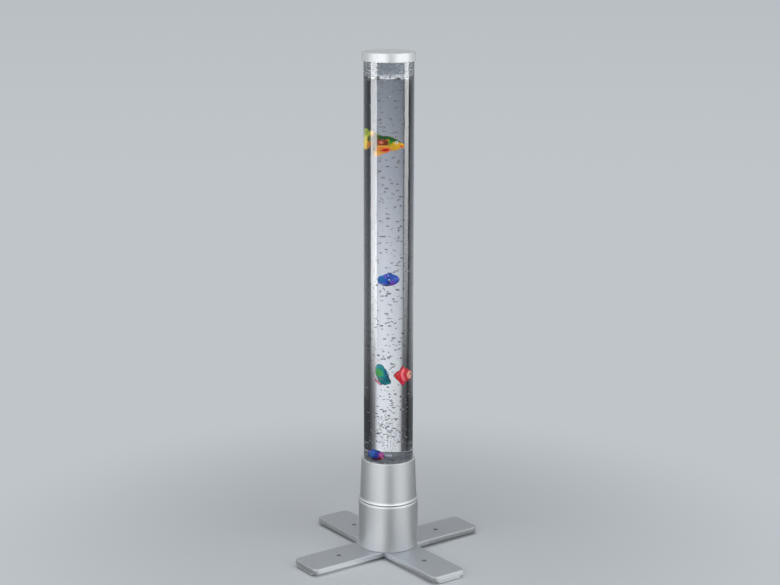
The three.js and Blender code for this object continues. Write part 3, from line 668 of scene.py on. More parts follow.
def sinkTool(hole, sink, start, end, x, y):
    # a drill with a cone at its start, which may be above or below its end
    away = math.copysign(1, start - end)
    depth = (sink - hole) / 2
    over = 1 * mm
    corners = [
        (0, end - away * over),
        (hole / 2, end - away * over),
        (hole / 2, start - away * depth),
        (sink / 2 + over, start + away * over),
        (0, start + away * over),
    ]
    form = turn(corners, cross["drillSteps"], closed=False)
    move(form, Matrix.Translation((x, y, 0)))
    return form


def lapTool(bottom, top):
    form = bmesh.new()
    bmesh.ops.create_cube(form, size=1)
    side = cross["width"] + 2 * cross["gap"]
    move(form, Matrix.Diagonal((side, 2 * cross["width"], top - bottom, 1)))
    move(form, Matrix.Translation((0, 0, (bottom + top) / 2)))
    return form


def addBar(name, node, degrees, lap):
    bottom, top = levels(node)
    form = plate(cross["length"], cross["width"], bottom, top, cross["corner"], cross["edge"])
    reach, screw = holes["reach"], cross["screwReach"]
    tools = [sinkTool(cross["hole"], cross["sink"], top, bottom, side * reach, 0) for side in (-1, 1)]
    for x in (-screw, screw):
        for y in (-screw, screw):
            tools.append(sinkTool(cross["screwHole"], cross["screwSink"], bottom, top, x, y))
    tools.append(lapTool(*lap))
    form = carve(form, tools)
    move(form, turnedAbout(degrees))
    addPiece(name, form, "base_and_tube", "silver_cross", [node])


def addCross():
    bottom, top = levels("cross_bar_upper")
    middle = (bottom + top) / 2
    over = 1 * mm
    addBar("upperBar", "cross_bar_upper", cross["turn"], (bottom - over, middle))
    addBar("lowerBar", "cross_bar_lower", cross["turn"] + 90, (middle, top + over))


def addFeet():
    middle = (cross["length"] - foot["length"]) / 2
    for leg in range(4):
        place = turnedAbout(cross["turn"] + 90 * leg) @ Matrix.Translation((middle, 0, 0))
        for kind, slot in foot["slots"].items():
            node = f"foot_{kind.lower()}_{leg + 1}"
            length, width = [foot[side] - 2 * foot["insets"][kind] for side in ("length", "width")]
            form = plate(length, width, *levels(node), foot["corner"], foot["edges"][kind], 4, 2)
            move(form, place)
            addPiece(f"foot{kind}{leg + 1}", form, "base_and_tube", slot, [node])


addCross()
addFeet()
print("base and cross made")


# Tube, floor and cap

tube = {"wall": 3 * mm, "edge": 0.3 * mm, "steps": 256}
tubeFloor = {"hole": 5.3 * mm, "edge": 0.5 * mm, "steps": 160}
cap = {"wall": 2.5 * mm, "top": 2.5 * mm, "edge": 0.9 * mm, "lip": 0.3 * mm}
stone = {"bore": 3.3 * mm, "roof": 1.7 * mm, "edge": 0.9 * mm, "foot": 0.4 * mm, "steps": 48}
tubeRadius = across("acrylic_tube")
boreRadius = tubeRadius - tube["wall"]
floorTop = levels("tube_floor")[1]
tubeTop = levels("acrylic_tube")[1]


def passLight(piece):
    # lamps reach what stands in the water straight through the clear walls
    piece.visible_shadow = False
    piece.visible_diffuse = False


def addTube():
    bottom, top = levels("acrylic_tube")
    corners = [(boreRadius, bottom), (tubeRadius, bottom), (tubeRadius, top), (boreRadius, top)]
    sides = (tubeRadius, boreRadius)
    rings = [(radius, height, tube["edge"], 2) for height in (bottom, top) for radius in sides]
    passLight(addTurned("clearTube", "acrylic_tube", corners, rings, "clear_tube", tube["steps"]))


def addTubeFloor():
    radius, hole = across("tube_floor"), tubeFloor["hole"]
    bottom, top = levels("tube_floor")
    corners = [(hole, bottom), (radius, bottom), (radius, top), (hole, top)]
    rings = [(radius, top, tubeFloor["edge"], 2)]
    addTurned("tubeFloor", "tube_floor", corners, rings, "frosted_floor", tubeFloor["steps"])


def addCap():
    radius = across("top_cap")
    bottom, top = levels("top_cap")
    inner, under = radius - cap["wall"], top - cap["top"]
    corners = [(0, under), (inner, under), (inner, bottom), (radius, bottom), (radius, top), (0, top)]
    rings = [(radius, top, cap["edge"], 4), (radius, bottom, cap["lip"], 2)]
    addTurned("topCap", "top_cap", corners, rings, closed=False, body="cap")


def addStone():
    radius, bore = across("air_stone"), stone["bore"]
    bottom, top = levels("air_stone")
    roof = top - stone["roof"]
    corners = [(bore, bottom), (radius, bottom), (radius, top), (0, top), (0, roof), (bore, roof)]
    rings = [(radius, top, stone["edge"], 4), (radius, bottom, stone["foot"], 2)]
    addTurned("airStone", "air_stone", corners, rings, "air_stone", stone["steps"], closed=False)


addTube()
addTubeFloor()
addCap()
print("tube and cap made")


# Fish

fishForm = {
    "sides": 32,
    "between": 4,
    "voxel": 0.5 * mm,
    "smooth": 5,
    "finThick": 1.9 * mm,
    "sideFinHalf": 0.8 * mm,
    "sideFinSunk": 0.4 * mm,
    "sideFinTilt": (0.3, 0.35),
    "eyeSunk": 0.45,
}
fishKinds = {}  # lengths in mm, turns in degrees
fishKinds["fish_yellow"] = {
    "place": (-8.8, 0, 933.6), "yaw": 0, "pitch": 5, "lift": 0, "length": 68, "height": 34, "thick": 17,
    "stations": [  # share of the length, then of half the height up and down and of half the thickness
        (-0.3, 0.34, 0.34, 0.28), (-0.15, 0.84, 0.8, 0.78), (0, 1, 0.94, 1), (0.1, 1.03, 0.92, 1),
        (0.21, 0.9, 0.86, 0.93), (0.34, 0.58, 0.68, 0.72), (0.445, 0.27, 0.42, 0.46),
        (0.51, 0.06, 0.27, 0.2),
    ],
    "tail": [(-17, 5), (-22, 11), (-26, 22), (-28.5, 28), (-33, 30), (-37.5, 27.5), (-38.5, 20), (-36.5, 13),
             (-38.3, 6), (-39, -3), (-37, -11), (-32, -17.5), (-27, -16), (-22, -9), (-17, -5)],
    "upperFin": [(4, 13), (-4, 17.5), (-11, 20.5), (-18, 24), (-25, 27), (-25, 18), (-20, 6)],
    "lowerFin": [(14, -13), (9, -18), (3, -21), (-3, -25.5), (-8, -28), (-14, -26), (-18, -17), (-19, -4)],
    "sideFin": (8, -6, 7, 3.6),  # place along and up, length and half height
    "eye": (21.4, 5.2, 3.2), "eyeTone": tone(252, 252, 222), "ground": tone(228, 170, 28),
    "spots": [  # along, up, half length, half height, turn, softness, then red, green and blue
        (0, -10, 14, 6.5, 0, 0.4, 240, 144, 50), (5.8, -21, 13, 3, -26, 0.3, 244, 132, 122),
        (-6, -24, 5, 5, 0, 0.4, 238, 174, 100), (4.6, -12.4, 8.5, 4.6, -12, 0.4, 236, 80, 38),
        (4.6, -12.6, 5.4, 2.8, -12, 0.35, 190, 18, 0), (-1, -4.9, 12, 1, 0, 0.4, 244, 172, 76),
        (-1, -7.1, 12, 1, 0, 0.4, 204, 126, 24), (-4, 4.3, 13, 7.4, 0, 0.2, 134, 50, 14),
        (5, 2.6, 4, 4.2, 0, 0.5, 104, 40, 4), (-4.6, 3.3, 3.8, 2.9, 0, 0.5, 214, 112, 88),
        (10.2, 3, 2.6, 8, 0, 0.4, 156, 144, 26), (12, 6.5, 3.6, 6, 0, 0.45, 54, 134, 8),
        (-3, 15.2, 15, 5.4, 0, 0.3, 4, 74, 20), (13, 11.8, 9, 3.8, 26, 0.35, 4, 86, 16),
        (24, 9, 8.5, 2.6, 26, 0.35, 24, 86, 20), (-11, 20.5, 4, 4.5, 0, 0.4, 104, 150, 34),
        (17, -3, 4.5, 6.5, 0, 0.45, 212, 166, 16), (31.8, -6.4, 3.8, 2, -15, 0.35, 246, 134, 116),
        (30.1, -2.3, 3, 1.8, 0, 0.35, 210, 52, 36), (-33, 22, 10, 10, 0, 0.3, 168, 188, 24),
        (-31, 22, 3, 5, 0, 0.5, 132, 152, 8), (-37, -2, 9, 17, 0, 0.25, 250, 218, 54),
        (-37, 9, 7, 4.5, 0, 0.4, 228, 232, 96), (-23, 8, 5.4, 8, 0, 0.3, 64, 84, 14),
        (-23, -6, 5.4, 9, 0, 0.3, 196, 120, 40), (-15, 2, 4.5, 26, 0, 0.3, 84, 66, 26),
        (-27, -17, 5, 2.6, 0, 0.4, 124, 60, 48),
    ],
    "stripes": (4.6, tone(150, 60, 14)), "finTone": tone(238, 150, 50),
}
fishKinds["fish_blue"] = {
    "place": (-1.0, 2.6, 629.3), "yaw": 28, "pitch": 4, "lift": 4.2, "length": 40, "height": 26,
    "thick": 15,
    "stations": [
        (-0.36, 0.42, 0.42, 0.3), (-0.25, 0.74, 0.74, 0.6), (-0.12, 0.94, 0.94, 0.88), (0.02, 1, 1, 1),
        (0.16, 1, 0.98, 1), (0.28, 0.9, 0.86, 0.88), (0.38, 0.66, 0.64, 0.64), (0.45, 0.4, 0.38, 0.36),
        (0.485, 0.16, 0.16, 0.16),
    ],
    "tail": [(-8, 9), (-11, 12.4), (-14, 11.8), (-17, 9.2), (-19.6, 5), (-21, 0), (-19.8, -4), (-17.4, -7.8),
             (-14.5, -10.2), (-11.5, -10.8), (-8, -8)],
    "upperFin": [(10, 9), (7, 13), (4, 17), (0, 15.5), (-6, 13.5), (-12, 10), (-8, 6)],
    "lowerFin": [(8, -10), (2, -14), (-5, -14), (-12, -10.5), (-8, -6)],
    "sideFin": (5, -3, 5, 2.6), "eye": (15.8, 2.6, 1.6), "eyeTone": tone(112, 132, 226),
    "ground": tone(18, 74, 180),
    "spots": [
        (-11, 2.5, 9, 14, 0, 0.3, 14, 112, 186), (-6, -4, 6, 6, 0, 0.5, 22, 86, 196),
        (-12.5, 12.5, 7, 3, -18, 0.4, 166, 218, 248), (-8.2, 9, 2.2, 5, 0, 0.4, 110, 78, 206),
        (-2, 3, 3.6, 13, 0, 0.4, 12, 26, 142), (6, 8, 6, 6, 0, 0.45, 0, 76, 166),
        (11.6, 3.1, 6, 4, 0, 0.45, 24, 78, 204), (5.4, -3.4, 4.2, 3.8, 0, 0.4, 102, 74, 208),
        (5.4, -3.4, 1.6, 1.8, 0, 0.4, 52, 40, 176), (4.8, -8.6, 4.8, 2.6, -15, 0.4, 120, 30, 146),
        (-2.4, -11.5, 8, 2.6, 0, 0.4, 28, 28, 112), (-11, -10, 5, 2.8, 0, 0.5, 124, 122, 196),
        (20, 1.5, 3, 8, 0, 0.4, 20, 72, 114), (-2.8, 10.3, 1.5, 1.6, 0, 0.5, 136, 172, 246),
        (-2.2, 1.8, 1.6, 1.6, 0, 0.5, 150, 190, 255), (6, 16, 4, 2.4, 0, 0.4, 28, 98, 132),
    ],
    "stripes": (3.4, tone(24, 30, 110)), "finTone": tone(70, 120, 214),
}
fishKinds["fish_teal"] = {
    "place": (-9.9, 1.0, 412.4), "yaw": 0, "pitch": 76, "lift": 0.4, "length": 54, "height": 19.2,
    "thick": 14,
    "stations": [
        (-0.47, 0.36, 0.36, 0.34), (-0.4, 0.68, 0.68, 0.6), (-0.3, 0.9, 0.9, 0.85), (-0.15, 1, 1, 1),
        (0, 0.98, 0.98, 1), (0.12, 0.84, 0.84, 0.9), (0.22, 0.62, 0.62, 0.72), (0.31, 0.34, 0.34, 0.42),
        (0.35, 0.12, 0.12, 0.18),
    ],
    "tail": [(-18, 7.5), (-24, 8), (-28.5, 6), (-31, 2), (-30.5, -2), (-27, -5), (-22, -7.2), (-18, -7)],
    "upperFin": [(16, 3), (18.4, 6.4), (17.6, 9.6), (13, 11), (7, 10.8), (3, 10), (-2, 11.4), (-10, 12),
                 (-18, 9.6), (-22, 6)],
    "lowerFin": [(-2.6, -13.8), (-1.8, -16.6), (2.4, -16.2), (10, -12.6), (17.5, -8.6), (18, -5), (13, -4),
                 (8, -7.8), (2, -11.2)],
    "sideFin": (2, -1, 5, 2.4), "eye": (12.5, 1.8, 1.3), "eyeTone": tone(110, 190, 190),
    "ground": tone(0, 146, 146),
    "spots": [
        (-27, 0, 3, 6, 0, 0.5, 60, 150, 170), (-12.5, -4.5, 9, 6.4, 0, 0.35, 66, 172, 78),
        (-9, -1, 4, 4, 0, 0.5, 70, 162, 92), (-3, 8, 14, 3.2, 0, 0.4, 0, 82, 124),
        (8, 1, 9, 7.5, 0, 0.45, 0, 112, 130), (4, -5, 5, 3.4, 0, 0.5, 0, 144, 130),
        # the first spot below, pale cyan along the upper fin, is a painted highlight
        (-10, 12, 12, 2.4, 0, 0.3, 152, 212, 222), (10.5, 10.6, 6, 2.4, 0, 0.35, 14, 92, 80),
        (8.3, -11.6, 12, 3, -23, 0.3, 232, 146, 168), (1.6, -9, 2.4, 2.4, 0, 0.3, 52, 14, 72),
    ],
    "stripes": (3.8, tone(0, 70, 96)), "finTone": tone(40, 150, 110),
}
fishKinds["fish_red"] = {
    "place": (23.4, 2.1, 413.3), "yaw": 176, "pitch": 0, "lift": 0, "length": 35, "height": 30,
    "thick": 13,
    "stations": [
        (-0.4, 0.5, 0.1, 0.25), (-0.3, 0.66, 0.4, 0.4), (-0.16, 0.85, 0.7, 0.75), (-0.02, 1, 0.88, 1),
        (0.1, 1, 0.85, 1), (0.2, 0.9, 0.68, 0.9), (0.3, 0.74, 0.4, 0.7), (0.38, 0.5, 0.08, 0.45),
        (0.43, 0.34, -0.16, 0.2),
    ],
    "tail": [(-8, 12), (-11.4, 14), (-16, 12), (-17.4, 7), (-17.2, 0), (-15.8, -5.5),
             (-10.3, -8.5), (-8, -4)],
    "upperFin": [(9, 10), (5, 15.8), (3.2, 21), (1.2, 23.8), (-2, 21.5), (-7.4, 18), (-11.4, 14), (-12, 6)],
    "lowerFin": [(9, -6), (6.6, -11), (4.1, -15.6), (1.6, -21), (-1.8, -21), (-4.6, -13.6), (-10.3, -9),
                 (-12, -3)],
    "sideFin": (4, -2, 4.5, 2.4), "eye": (10.8, 4.8, 1.3), "eyeTone": tone(206, 74, 80),
    "ground": tone(216, 8, 22),
    "spots": [
        (11.5, 9, 8, 3.2, 46, 0.4, 150, 0, 36), (2.4, 19.6, 3.4, 5, 0, 0.4, 190, 2, 48),
        (7.5, 0.9, 5, 9, 10, 0.4, 222, 4, 12), (0.8, -14, 3, 8, 0, 0.4, 224, 14, 66),
        (0, -20.5, 3, 2.4, 0, 0.4, 134, 18, 72), (-6, 4, 3.6, 15, 0, 0.3, 208, 42, 54),
        (-0.8, 11.6, 2.5, 8.4, -10, 0.35, 255, 118, 130),
        (-2.2, -2.6, 2.5, 9.8, 13, 0.35, 255, 118, 130), (-13, 3.4, 4.6, 8.6, 0, 0.3, 255, 170, 150),
    ],
    "stripes": (3.2, tone(140, 0, 20)), "finTone": tone(236, 80, 80),
}
fishKinds["fish_violet"] = {
    "place": (-24.4, -29.6, 240.3), "yaw": -31, "pitch": 0, "lift": -2, "length": 38, "height": 23,
    "thick": 13,
    "stations": [
        (-0.46, 0.34, 0.34, 0.3), (-0.38, 0.62, 0.62, 0.55), (-0.25, 0.86, 0.86, 0.85), (-0.1, 1, 1, 1),
        (0.05, 1, 1, 1), (0.2, 0.92, 0.92, 0.95), (0.33, 0.74, 0.74, 0.8), (0.43, 0.5, 0.5, 0.58),
        (0.5, 0.2, 0.2, 0.28),
    ],
    "tail": [(-12, 6), (-16, 8), (-19.5, 5), (-20, 0), (-19.5, -5), (-16, -8), (-12, -6)],
    "upperFin": [(7, 8), (3, 11.5), (-3, 13), (-9, 12), (-14, 8), (-8, 5)],
    "lowerFin": [(7, -8), (2, -11.3), (-4, -11.4), (-10, -10), (-14, -7), (-8, -4)],
    "sideFin": (4, -2, 4.5, 2.4), "eye": (13.4, 3, 1.4), "eyeTone": tone(206, 128, 178),
    "ground": tone(30, 40, 142),
    "spots": [
        (-15, 5, 6, 6, 0, 0.5, 98, 98, 182), (-14.5, -7, 4, 4, 0, 0.5, 98, 60, 134),
        (-10.6, 0, 6.4, 6, 0, 0.5, 10, 100, 160), (-2.5, 5.5, 5.6, 7, 0, 0.45, 0, 86, 184),
        (3.4, 0.5, 4.4, 8, 0, 0.45, 18, 42, 146), (3.2, 11.5, 5, 2.6, 0, 0.4, 0, 64, 92),
        (13.7, 3, 5, 6, 0, 0.4, 178, 76, 146), (10.4, -6.5, 5.8, 4.6, 0, 0.4, 118, 2, 36),
        (17, -5, 3, 3.4, 0, 0.4, 240, 112, 134), (-1, -10.4, 10, 3, 0, 0.4, 62, 14, 68),
    ],
    "stripes": (3.2, tone(26, 20, 96)), "finTone": tone(150, 90, 190),
}


def fishPlace(kind):
    turned = Matrix.Rotation(math.radians(kind["yaw"]), 4, "Z")
    pitched = Matrix.Rotation(math.radians(kind["pitch"]), 4, "Y")
    lifted = Matrix.Translation((0, 0, kind["lift"] * mm))
    return Matrix.Translation(Vector(kind["place"]) * mm) @ turned @ pitched @ lifted


def curve(a, b, c, d, t):
    # a smooth curve from b at 0 to c at 1, with a before it and d after it
    square = (2 * a - 5 * b + 4 * c - d) * t**2
    cube = (3 * b - a - 3 * c + d) * t**3
    return 0.5 * (2 * b + (c - a) * t + square + cube)


def smoothRows(rows, between):
    # more rows of numbers between the given ones, on a smooth curve through them
    ends = [rows[0], *rows, rows[-1]]
    found = []
    for number in range(len(rows) - 1):
        before, start, end, after = ends[number:number + 4]
        for step in range(between):
            found.append([curve(*places, step / between) for places in zip(before, start, end, after)])
    return [*found, rows[-1]]


def ringPlace(kind, station):
    along, up, down, thick = station
    half = kind["height"] * mm / 2
    middle = Matrix.Translation((along * kind["length"] * mm, 0, (up - down) / 2 * half))
    return middle @ Matrix.Diagonal((1, thick * kind["thick"] * mm / 2, (up + down) / 2 * half, 1))


def addFishBody(form, kind):
    stations = smoothRows(kind["stations"], fishForm["between"])
    upright = Matrix.Rotation(math.pi / 2, 4, "Y")
    start = ringPlace(kind, stations[0]) @ upright
    bmesh.ops.create_circle(form, cap_ends=True, segments=fishForm["sides"], radius=1, matrix=start)
    face = form.faces[:][0]
    for before, after in zip(stations, stations[1:]):
        made = bmesh.ops.extrude_face_region(form, geom=[face])["geom"]
        face = next(item for item in made if isinstance(item, bmesh.types.BMFace))
        move(form, ringPlace(kind, after) @ ringPlace(kind, before).inverted(), face.verts[:])


def addFin(form, outline):
    # a flat fin from its outline, thickened to both sides
    half = fishForm["finThick"] / 2
    points = [form.verts.new((along * mm, -half, up * mm)) for along, up in outline]
    face = form.faces.new(points)
    made = bmesh.ops.extrude_face_region(form, geom=[face])["geom"]
    farSide = [item for item in made if isinstance(item, bmesh.types.BMVert)]
    move(form, Matrix.Translation((0, 2 * half, 0)), farSide)


def addSideFin(form, kind, side):
    along, up, length, half = [value * mm for value in kind["sideFin"]]
    turned, pitched = fishForm["sideFinTilt"]
    tilt = Matrix.Rotation(side * turned, 4, "Z") @ Matrix.Rotation(pitched, 4, "Y")
    shape = Matrix.Diagonal((length / 2, fishForm["sideFinHalf"], half, 1))
    out = side * (kind["thick"] * mm / 2 - fishForm["sideFinSunk"])
    place = Matrix.Translation((along - length / 2, out, up)) @ tilt @ shape
    bmesh.ops.create_uvsphere(form, u_segments=20, v_segments=10, radius=1, matrix=place)


def eyeDepth(kind):
    # how far the body reaches to the side where the eye sits
    along, up, size = kind["eye"]
    stations = smoothRows(kind["stations"], fishForm["between"])
    nearest = min(stations, key=lambda station: abs(station[0] * kind["length"] - along))
    share = min(0.95, up / (nearest[1] * kind["height"] / 2))
    return nearest[3] * kind["thick"] / 2 * math.sqrt(1 - share**2)


def addEye(form, kind, side):
    along, up, size = kind["eye"]
    out = side * (eyeDepth(kind) - size * fishForm["eyeSunk"])
    shape = Matrix.Diagonal((size * mm, size * mm, size * mm, 1))
    place = Matrix.Translation(Vector((along, out, up)) * mm) @ shape
    bmesh.ops.create_uvsphere(form, u_segments=24, v_segments=14, radius=1, matrix=place)


def weld(form, voxel, smooth):
    # one closed skin over all the parts of a form, with soft joins
    block = newObject("block", meshOf(form))
    change = block.modifiers.new("weld", "REMESH")
    change.mode = "VOXEL"
    change.voxel_size = voxel
    result = shaped(block)
    for number in range(smooth):
        settings = {"factor": 0.5, "use_axis_x": True, "use_axis_y": True, "use_axis_z": True}
        bmesh.ops.smooth_vert(result, verts=result.verts, **settings)
    return result


def fishSkin(kind):
    def build(paint):
        placed = fishPlace(kind)
        home = {"Location": placed.to_translation(), "Rotation": placed.to_euler()}
        local = paint.framed(paint.points(), **home)
        x, y, z = paint.axes(local)
        drift = paint.node("ShaderNodeTexNoise", {}, {"Vector": local, "Scale": 170, "Detail": 3}, "Fac")

        def spot(along, up, length, height, turn, soft):
            # 1 inside an ellipse with a wavering edge
            home = {"Location": (along * mm, 0, up * mm), "Scale": (length * mm, 1, height * mm)}
            inside = paint.framed(local, Rotation=(0, math.radians(turn), 0), **home)
            reach = paint.node("ShaderNodeVectorMath", {"operation": "LENGTH"}, {0: inside}, "Value")
            return 1 - paint.between(reach + (drift - 0.5) * 0.3, 1 - soft, 1 + soft)

        body = spot(kind["length"] * 0.12, 0, kind["length"] * 0.4, kind["height"] / 2, 0, 0.12)
        rays = paint.between(paint.maths("PINGPONG", x * 0.6 + z * 0.8, 0.9 * mm), 0.15 * mm, 0.7 * mm)
        fin = paint.blend(rays, kind["finTone"], tone(40, 40, 40))
        colour = kind["ground"]
        for *place, red, green, blue in kind["spots"]:
            colour = paint.blend(spot(*place), colour, tone(red, green, blue))
        width, stripeTone = kind["stripes"]
        thin = paint.between(paint.maths("PINGPONG", x + drift * 4 * mm, width * mm), 0, 0.9 * mm)
        colour = paint.blend((1 - thin) * body * 0.18, colour, stripeTone)
        colour = paint.blend((1 - body) * 0.2 * rays, colour, fin)
        scales = (paint.maths("PINGPONG", x + z, 1 * mm) + paint.maths("PINGPONG", x - z, 1 * mm)) * 500
        along, up, size = kind["eye"]
        white = spot(along, up, size * 0.92, size * 0.92, 0, 0.1)
        pupil = spot(along + 0.2, up, size * 0.5, size * 0.5, 0, 0.12)
        colour = paint.blend(white, colour, kind["eyeTone"])
        colour = paint.blend(pupil, colour, tone(14, 14, 18))
        relief = scales * body * 0.25 + rays * (1 - body) * 0.5
        return {
            "Base Color": colour,
            "Roughness": 0.34 + drift * 0.16 - white * 0.12,
            "Specular IOR Level": 0.15,
            "Normal": paint.bump(relief * (1 - white), 0.35 * mm),
        }

    return build


def addFish(name, kind):
    form = bmesh.new()
    addFishBody(form, kind)
    for outline in (kind["tail"], kind["upperFin"], kind["lowerFin"]):
        addFin(form, outline)
    for side in (-1, 1):
        addSideFin(form, kind, side)
        addEye(form, kind, side)
    bmesh.ops.recalc_face_normals(form, faces=form.faces)
    form = weld(form, fishForm["voxel"], fishForm["smooth"])
    move(form, fishPlace(kind))
    plain = name.replace("fish_", "")
    skin = newFinish(plain + "FishSkin", fishSkin(kind))
    return addPiece(plain + "Fish", form, "body_" + name, name, [name], skin, sharp=180)


fishPieces = {name: addFish(name, kind) for name, kind in fishKinds.items()}
print("fish made")


# Water with its bubbles

water = {
    "overlap": 0.1 * mm,  # into the wall and the floor, so that no film of air is left
    "rise": 1.6 * mm,  # of the water's edge at the wall
    "edge": [(0, 1), (0.5, 0.75), (1.4, 0.3), (2.6, 0.08)],  # mm from the wall and share of the rise
    "flat": 4 * mm,  # from the wall
    "steps": 192,
    "rippleRings": 14,
    "ripple": 0.9 * mm,
    "rippleScale": 110,
}
bubble = {
    "count": 680,
    "start": 30 * mm,
    "radius": (1.3 * mm, 3.1 * mm),
    "flatness": (0.42, 0.75),
    "tilt": 28,
    "sides": 10,
    "rings": 6,
    "clearance": 1.2 * mm,
    "seed": 7,
}
plume = {
    "streams": 11,
    "start": 4 * mm,
    "height": 95 * mm,
    "reach": 32 * mm,
    "count": 50,
    "radius": (0.5 * mm, 1.3 * mm),
}
foam = {
    "count": 150,
    "depth": 14 * mm,
    "radius": (0.7 * mm, 2.0 * mm),
    "atWall": 0.55,  # share of the foam in the outer tenth
    "checked": 400,  # rising bubbles that it keeps clear of
}
surfaceFoam = {"count": 340, "patches": 9, "radius": (0.6 * mm, 1.3 * mm), "seed": 5}
droplets = {"count": 230, "gap": (3 * mm, 4 * mm), "sunk": 0.05 * mm, "seed": 11}


def sweptBoxes():
    # each fish's box, drawn out over the stretch in which it floats, so that no bubble is in its way
    found = []
    for joint in frame["joints"]:
        piece = fishPieces.get(joint["name"].replace("_float", ""))
        if piece:
            fall, rise = joint["range_m"]
            places = [point.co for point in piece.data.vertices]
            low = Vector([min(place[axis] for place in places) for axis in range(3)])
            high = Vector([max(place[axis] for place in places) for axis in range(3)])
            found.append((low + Vector((0, 0, fall)), high + Vector((0, 0, rise))))
    return found


fishBoxes = sweptBoxes()


def keepClear(point, reach, kept):
    # whether a round of this reach is clear of the fish and of the bubbles so far
    for low, high in fishBoxes:
        nearest = Vector([min(max(point[i], low[i]), high[i]) for i in range(3)])
        if (point - nearest).length < reach:
            return False
    return all((point - other).length > reach + size for other, size in kept)


def roundMesh(inward=False):
    # a small round to copy many times; one that faces inward is a hollow in the water
    form = bmesh.new()
    bmesh.ops.create_uvsphere(form, u_segments=bubble["sides"], v_segments=bubble["rings"], radius=1)
    if inward:
        bmesh.ops.reverse_faces(form, faces=form.faces[:])
    return meshOf(form, "round")


def addCopy(form, mesh, place):
    copy = mesh.copy()
    copy.transform(place)
    form.from_mesh(copy)
    bpy.data.meshes.remove(copy)


def randomTilt(chance):
    most = math.radians(bubble["tilt"])
    turned = Euler((chance.uniform(-most, most), chance.uniform(-most, most), chance.uniform(0, 2 * math.pi)))
    return turned.to_matrix().to_4x4()


def risingBubbles(chance, kept):
    bottom = floorTop + bubble["start"]
    top = waterLevel - foam["depth"]
    lowest, highest = bubble["radius"]
    while len(kept) < bubble["count"]:
        size = lowest + (highest - lowest) * chance.random() ** 1.6
        spread = boreRadius - size - bubble["clearance"]
        radius, angle = spread * chance.random() ** 0.62, chance.uniform(0, 2 * math.pi)
        point = Vector((radius * math.cos(angle), radius * math.sin(angle), chance.uniform(bottom, top)))
        if keepClear(point, size + bubble["clearance"], kept):
            kept.append((point, size))
    return kept


def plumeBubbles(chance, kept):
    start = levels("air_stone")[1]
    found = []
    for stream in range(plume["streams"]):
        angle = 2 * math.pi * (stream + chance.uniform(-0.3, 0.3)) / plume["streams"]
        reach = plume["reach"] * chance.uniform(0.35, 1)
        for step in range(plume["count"]):
            share = (step + chance.random()) / plume["count"]
            radius = plume["start"] + reach * share**0.8 + chance.uniform(-1, 1) * mm * (1 + 4 * share)
            height = start - 2 * mm + plume["height"] * share
            size = chance.uniform(*plume["radius"]) * (0.6 + 0.6 * share)
            point = Vector((radius * math.cos(angle), radius * math.sin(angle), height))
            if keepClear(point, size + 0.3 * mm, kept + found):
                found.append((point, size))
    return found


def foamBubbles(chance, kept):
    found = []
    for tried in range(foam["count"] * 3):
        if len(found) == foam["count"]:
            break
        size = chance.uniform(*foam["radius"])
        atWall = chance.random() < foam["atWall"]
        spread = boreRadius - size - 0.6 * mm
        radius = spread * (chance.uniform(0.9, 1) if atWall else chance.random() ** 0.6)
        angle = chance.uniform(0, 2 * math.pi)
        depth = size + water["rise"] + foam["depth"] * chance.random() ** 2.2
        point = Vector((radius * math.cos(angle), radius * math.sin(angle), waterLevel - depth))
        if keepClear(point, size + 0.1 * mm, kept + found):
            found.append((point, size))
    return found


def addWater():
    radius = boreRadius + water["overlap"]
    bottom = floorTop - water["overlap"]
    rings = water["rippleRings"]
    edge = [(radius - inward * mm, waterLevel + water["rise"] * share) for inward, share in water["edge"]]
    surface = [((radius - water["flat"]) * (rings - ring) / rings, waterLevel) for ring in range(rings)]
    corners = [(0, bottom), (radius, bottom), *edge, *surface, (0, waterLevel)]
    form = turn(corners, water["steps"], closed=False)
    for point in form.verts:
        if point.co.z > waterLevel - 1 * mm and math.hypot(point.co.x, point.co.y) < radius - 1 * mm:
            point.co.z += water["ripple"] * noise.noise(point.co * water["rippleScale"])
    chance = random.Random(bubble["seed"])
    rising = risingBubbles(chance, [])
    plumes = plumeBubbles(chance, rising)
    foams = foamBubbles(chance, rising[-foam["checked"]:])
    hollow = roundMesh(inward=True)
    for point, size in rising + plumes + foams:
        shape = Matrix.Diagonal((size, size, size * chance.uniform(*bubble["flatness"]), 1))
        addCopy(form, hollow, Matrix.Translation(point) @ randomTilt(chance) @ shape)
    passLight(addPiece("waterWithBubbles", form, "base_and_tube", "water", sharp=60))


def addRounds(name, slot, count, seed, place):
    # many small rounds as one piece, each placed by its own random draws
    chance = random.Random(seed)
    form = bmesh.new()
    ball = roundMesh()
    for number in range(count):
        addCopy(form, ball, place(chance))
    passLight(addPiece(name, form, "base_and_tube", slot))


def onSurface(chance):
    # fine white foam drifts on the water in a broken ring and a few patches
    patch = chance.randrange(surfaceFoam["patches"])
    angle = 2.4 * patch + chance.gauss(0, 0.22)
    radius = min(boreRadius - 2 * mm, max(0, (10 + 7 * patch % 36) * mm + chance.gauss(0, 3 * mm)))
    size = chance.uniform(*surfaceFoam["radius"])
    place = Vector((radius * math.cos(angle), radius * math.sin(angle), waterLevel + size * 0.6))
    return Matrix.Translation(place) @ Matrix.Diagonal((size, size, size, 1))


def onWall(chance):
    # condensation and splashes sit on the bare wall between the water and the cap
    below, above = droplets["gap"]
    size = chance.uniform(0.5, 1.6) * mm
    angle = chance.uniform(0, 2 * math.pi)
    height = chance.uniform(waterLevel + below, tubeTop - above)
    flat = Matrix.Diagonal((0.45 * size, size, size * chance.uniform(0.9, 1.5), 1))
    place = Matrix.Translation((boreRadius - droplets["sunk"], 0, height))
    return turnedAbout(math.degrees(angle)) @ place @ flat


addWater()
addRounds("surfaceFoam", "fine_bubbles", surfaceFoam["count"], surfaceFoam["seed"], onSurface)
addRounds("wallDroplets", "water", droplets["count"], droplets["seed"], onWall)
addStone()
print("water made")


# Stage

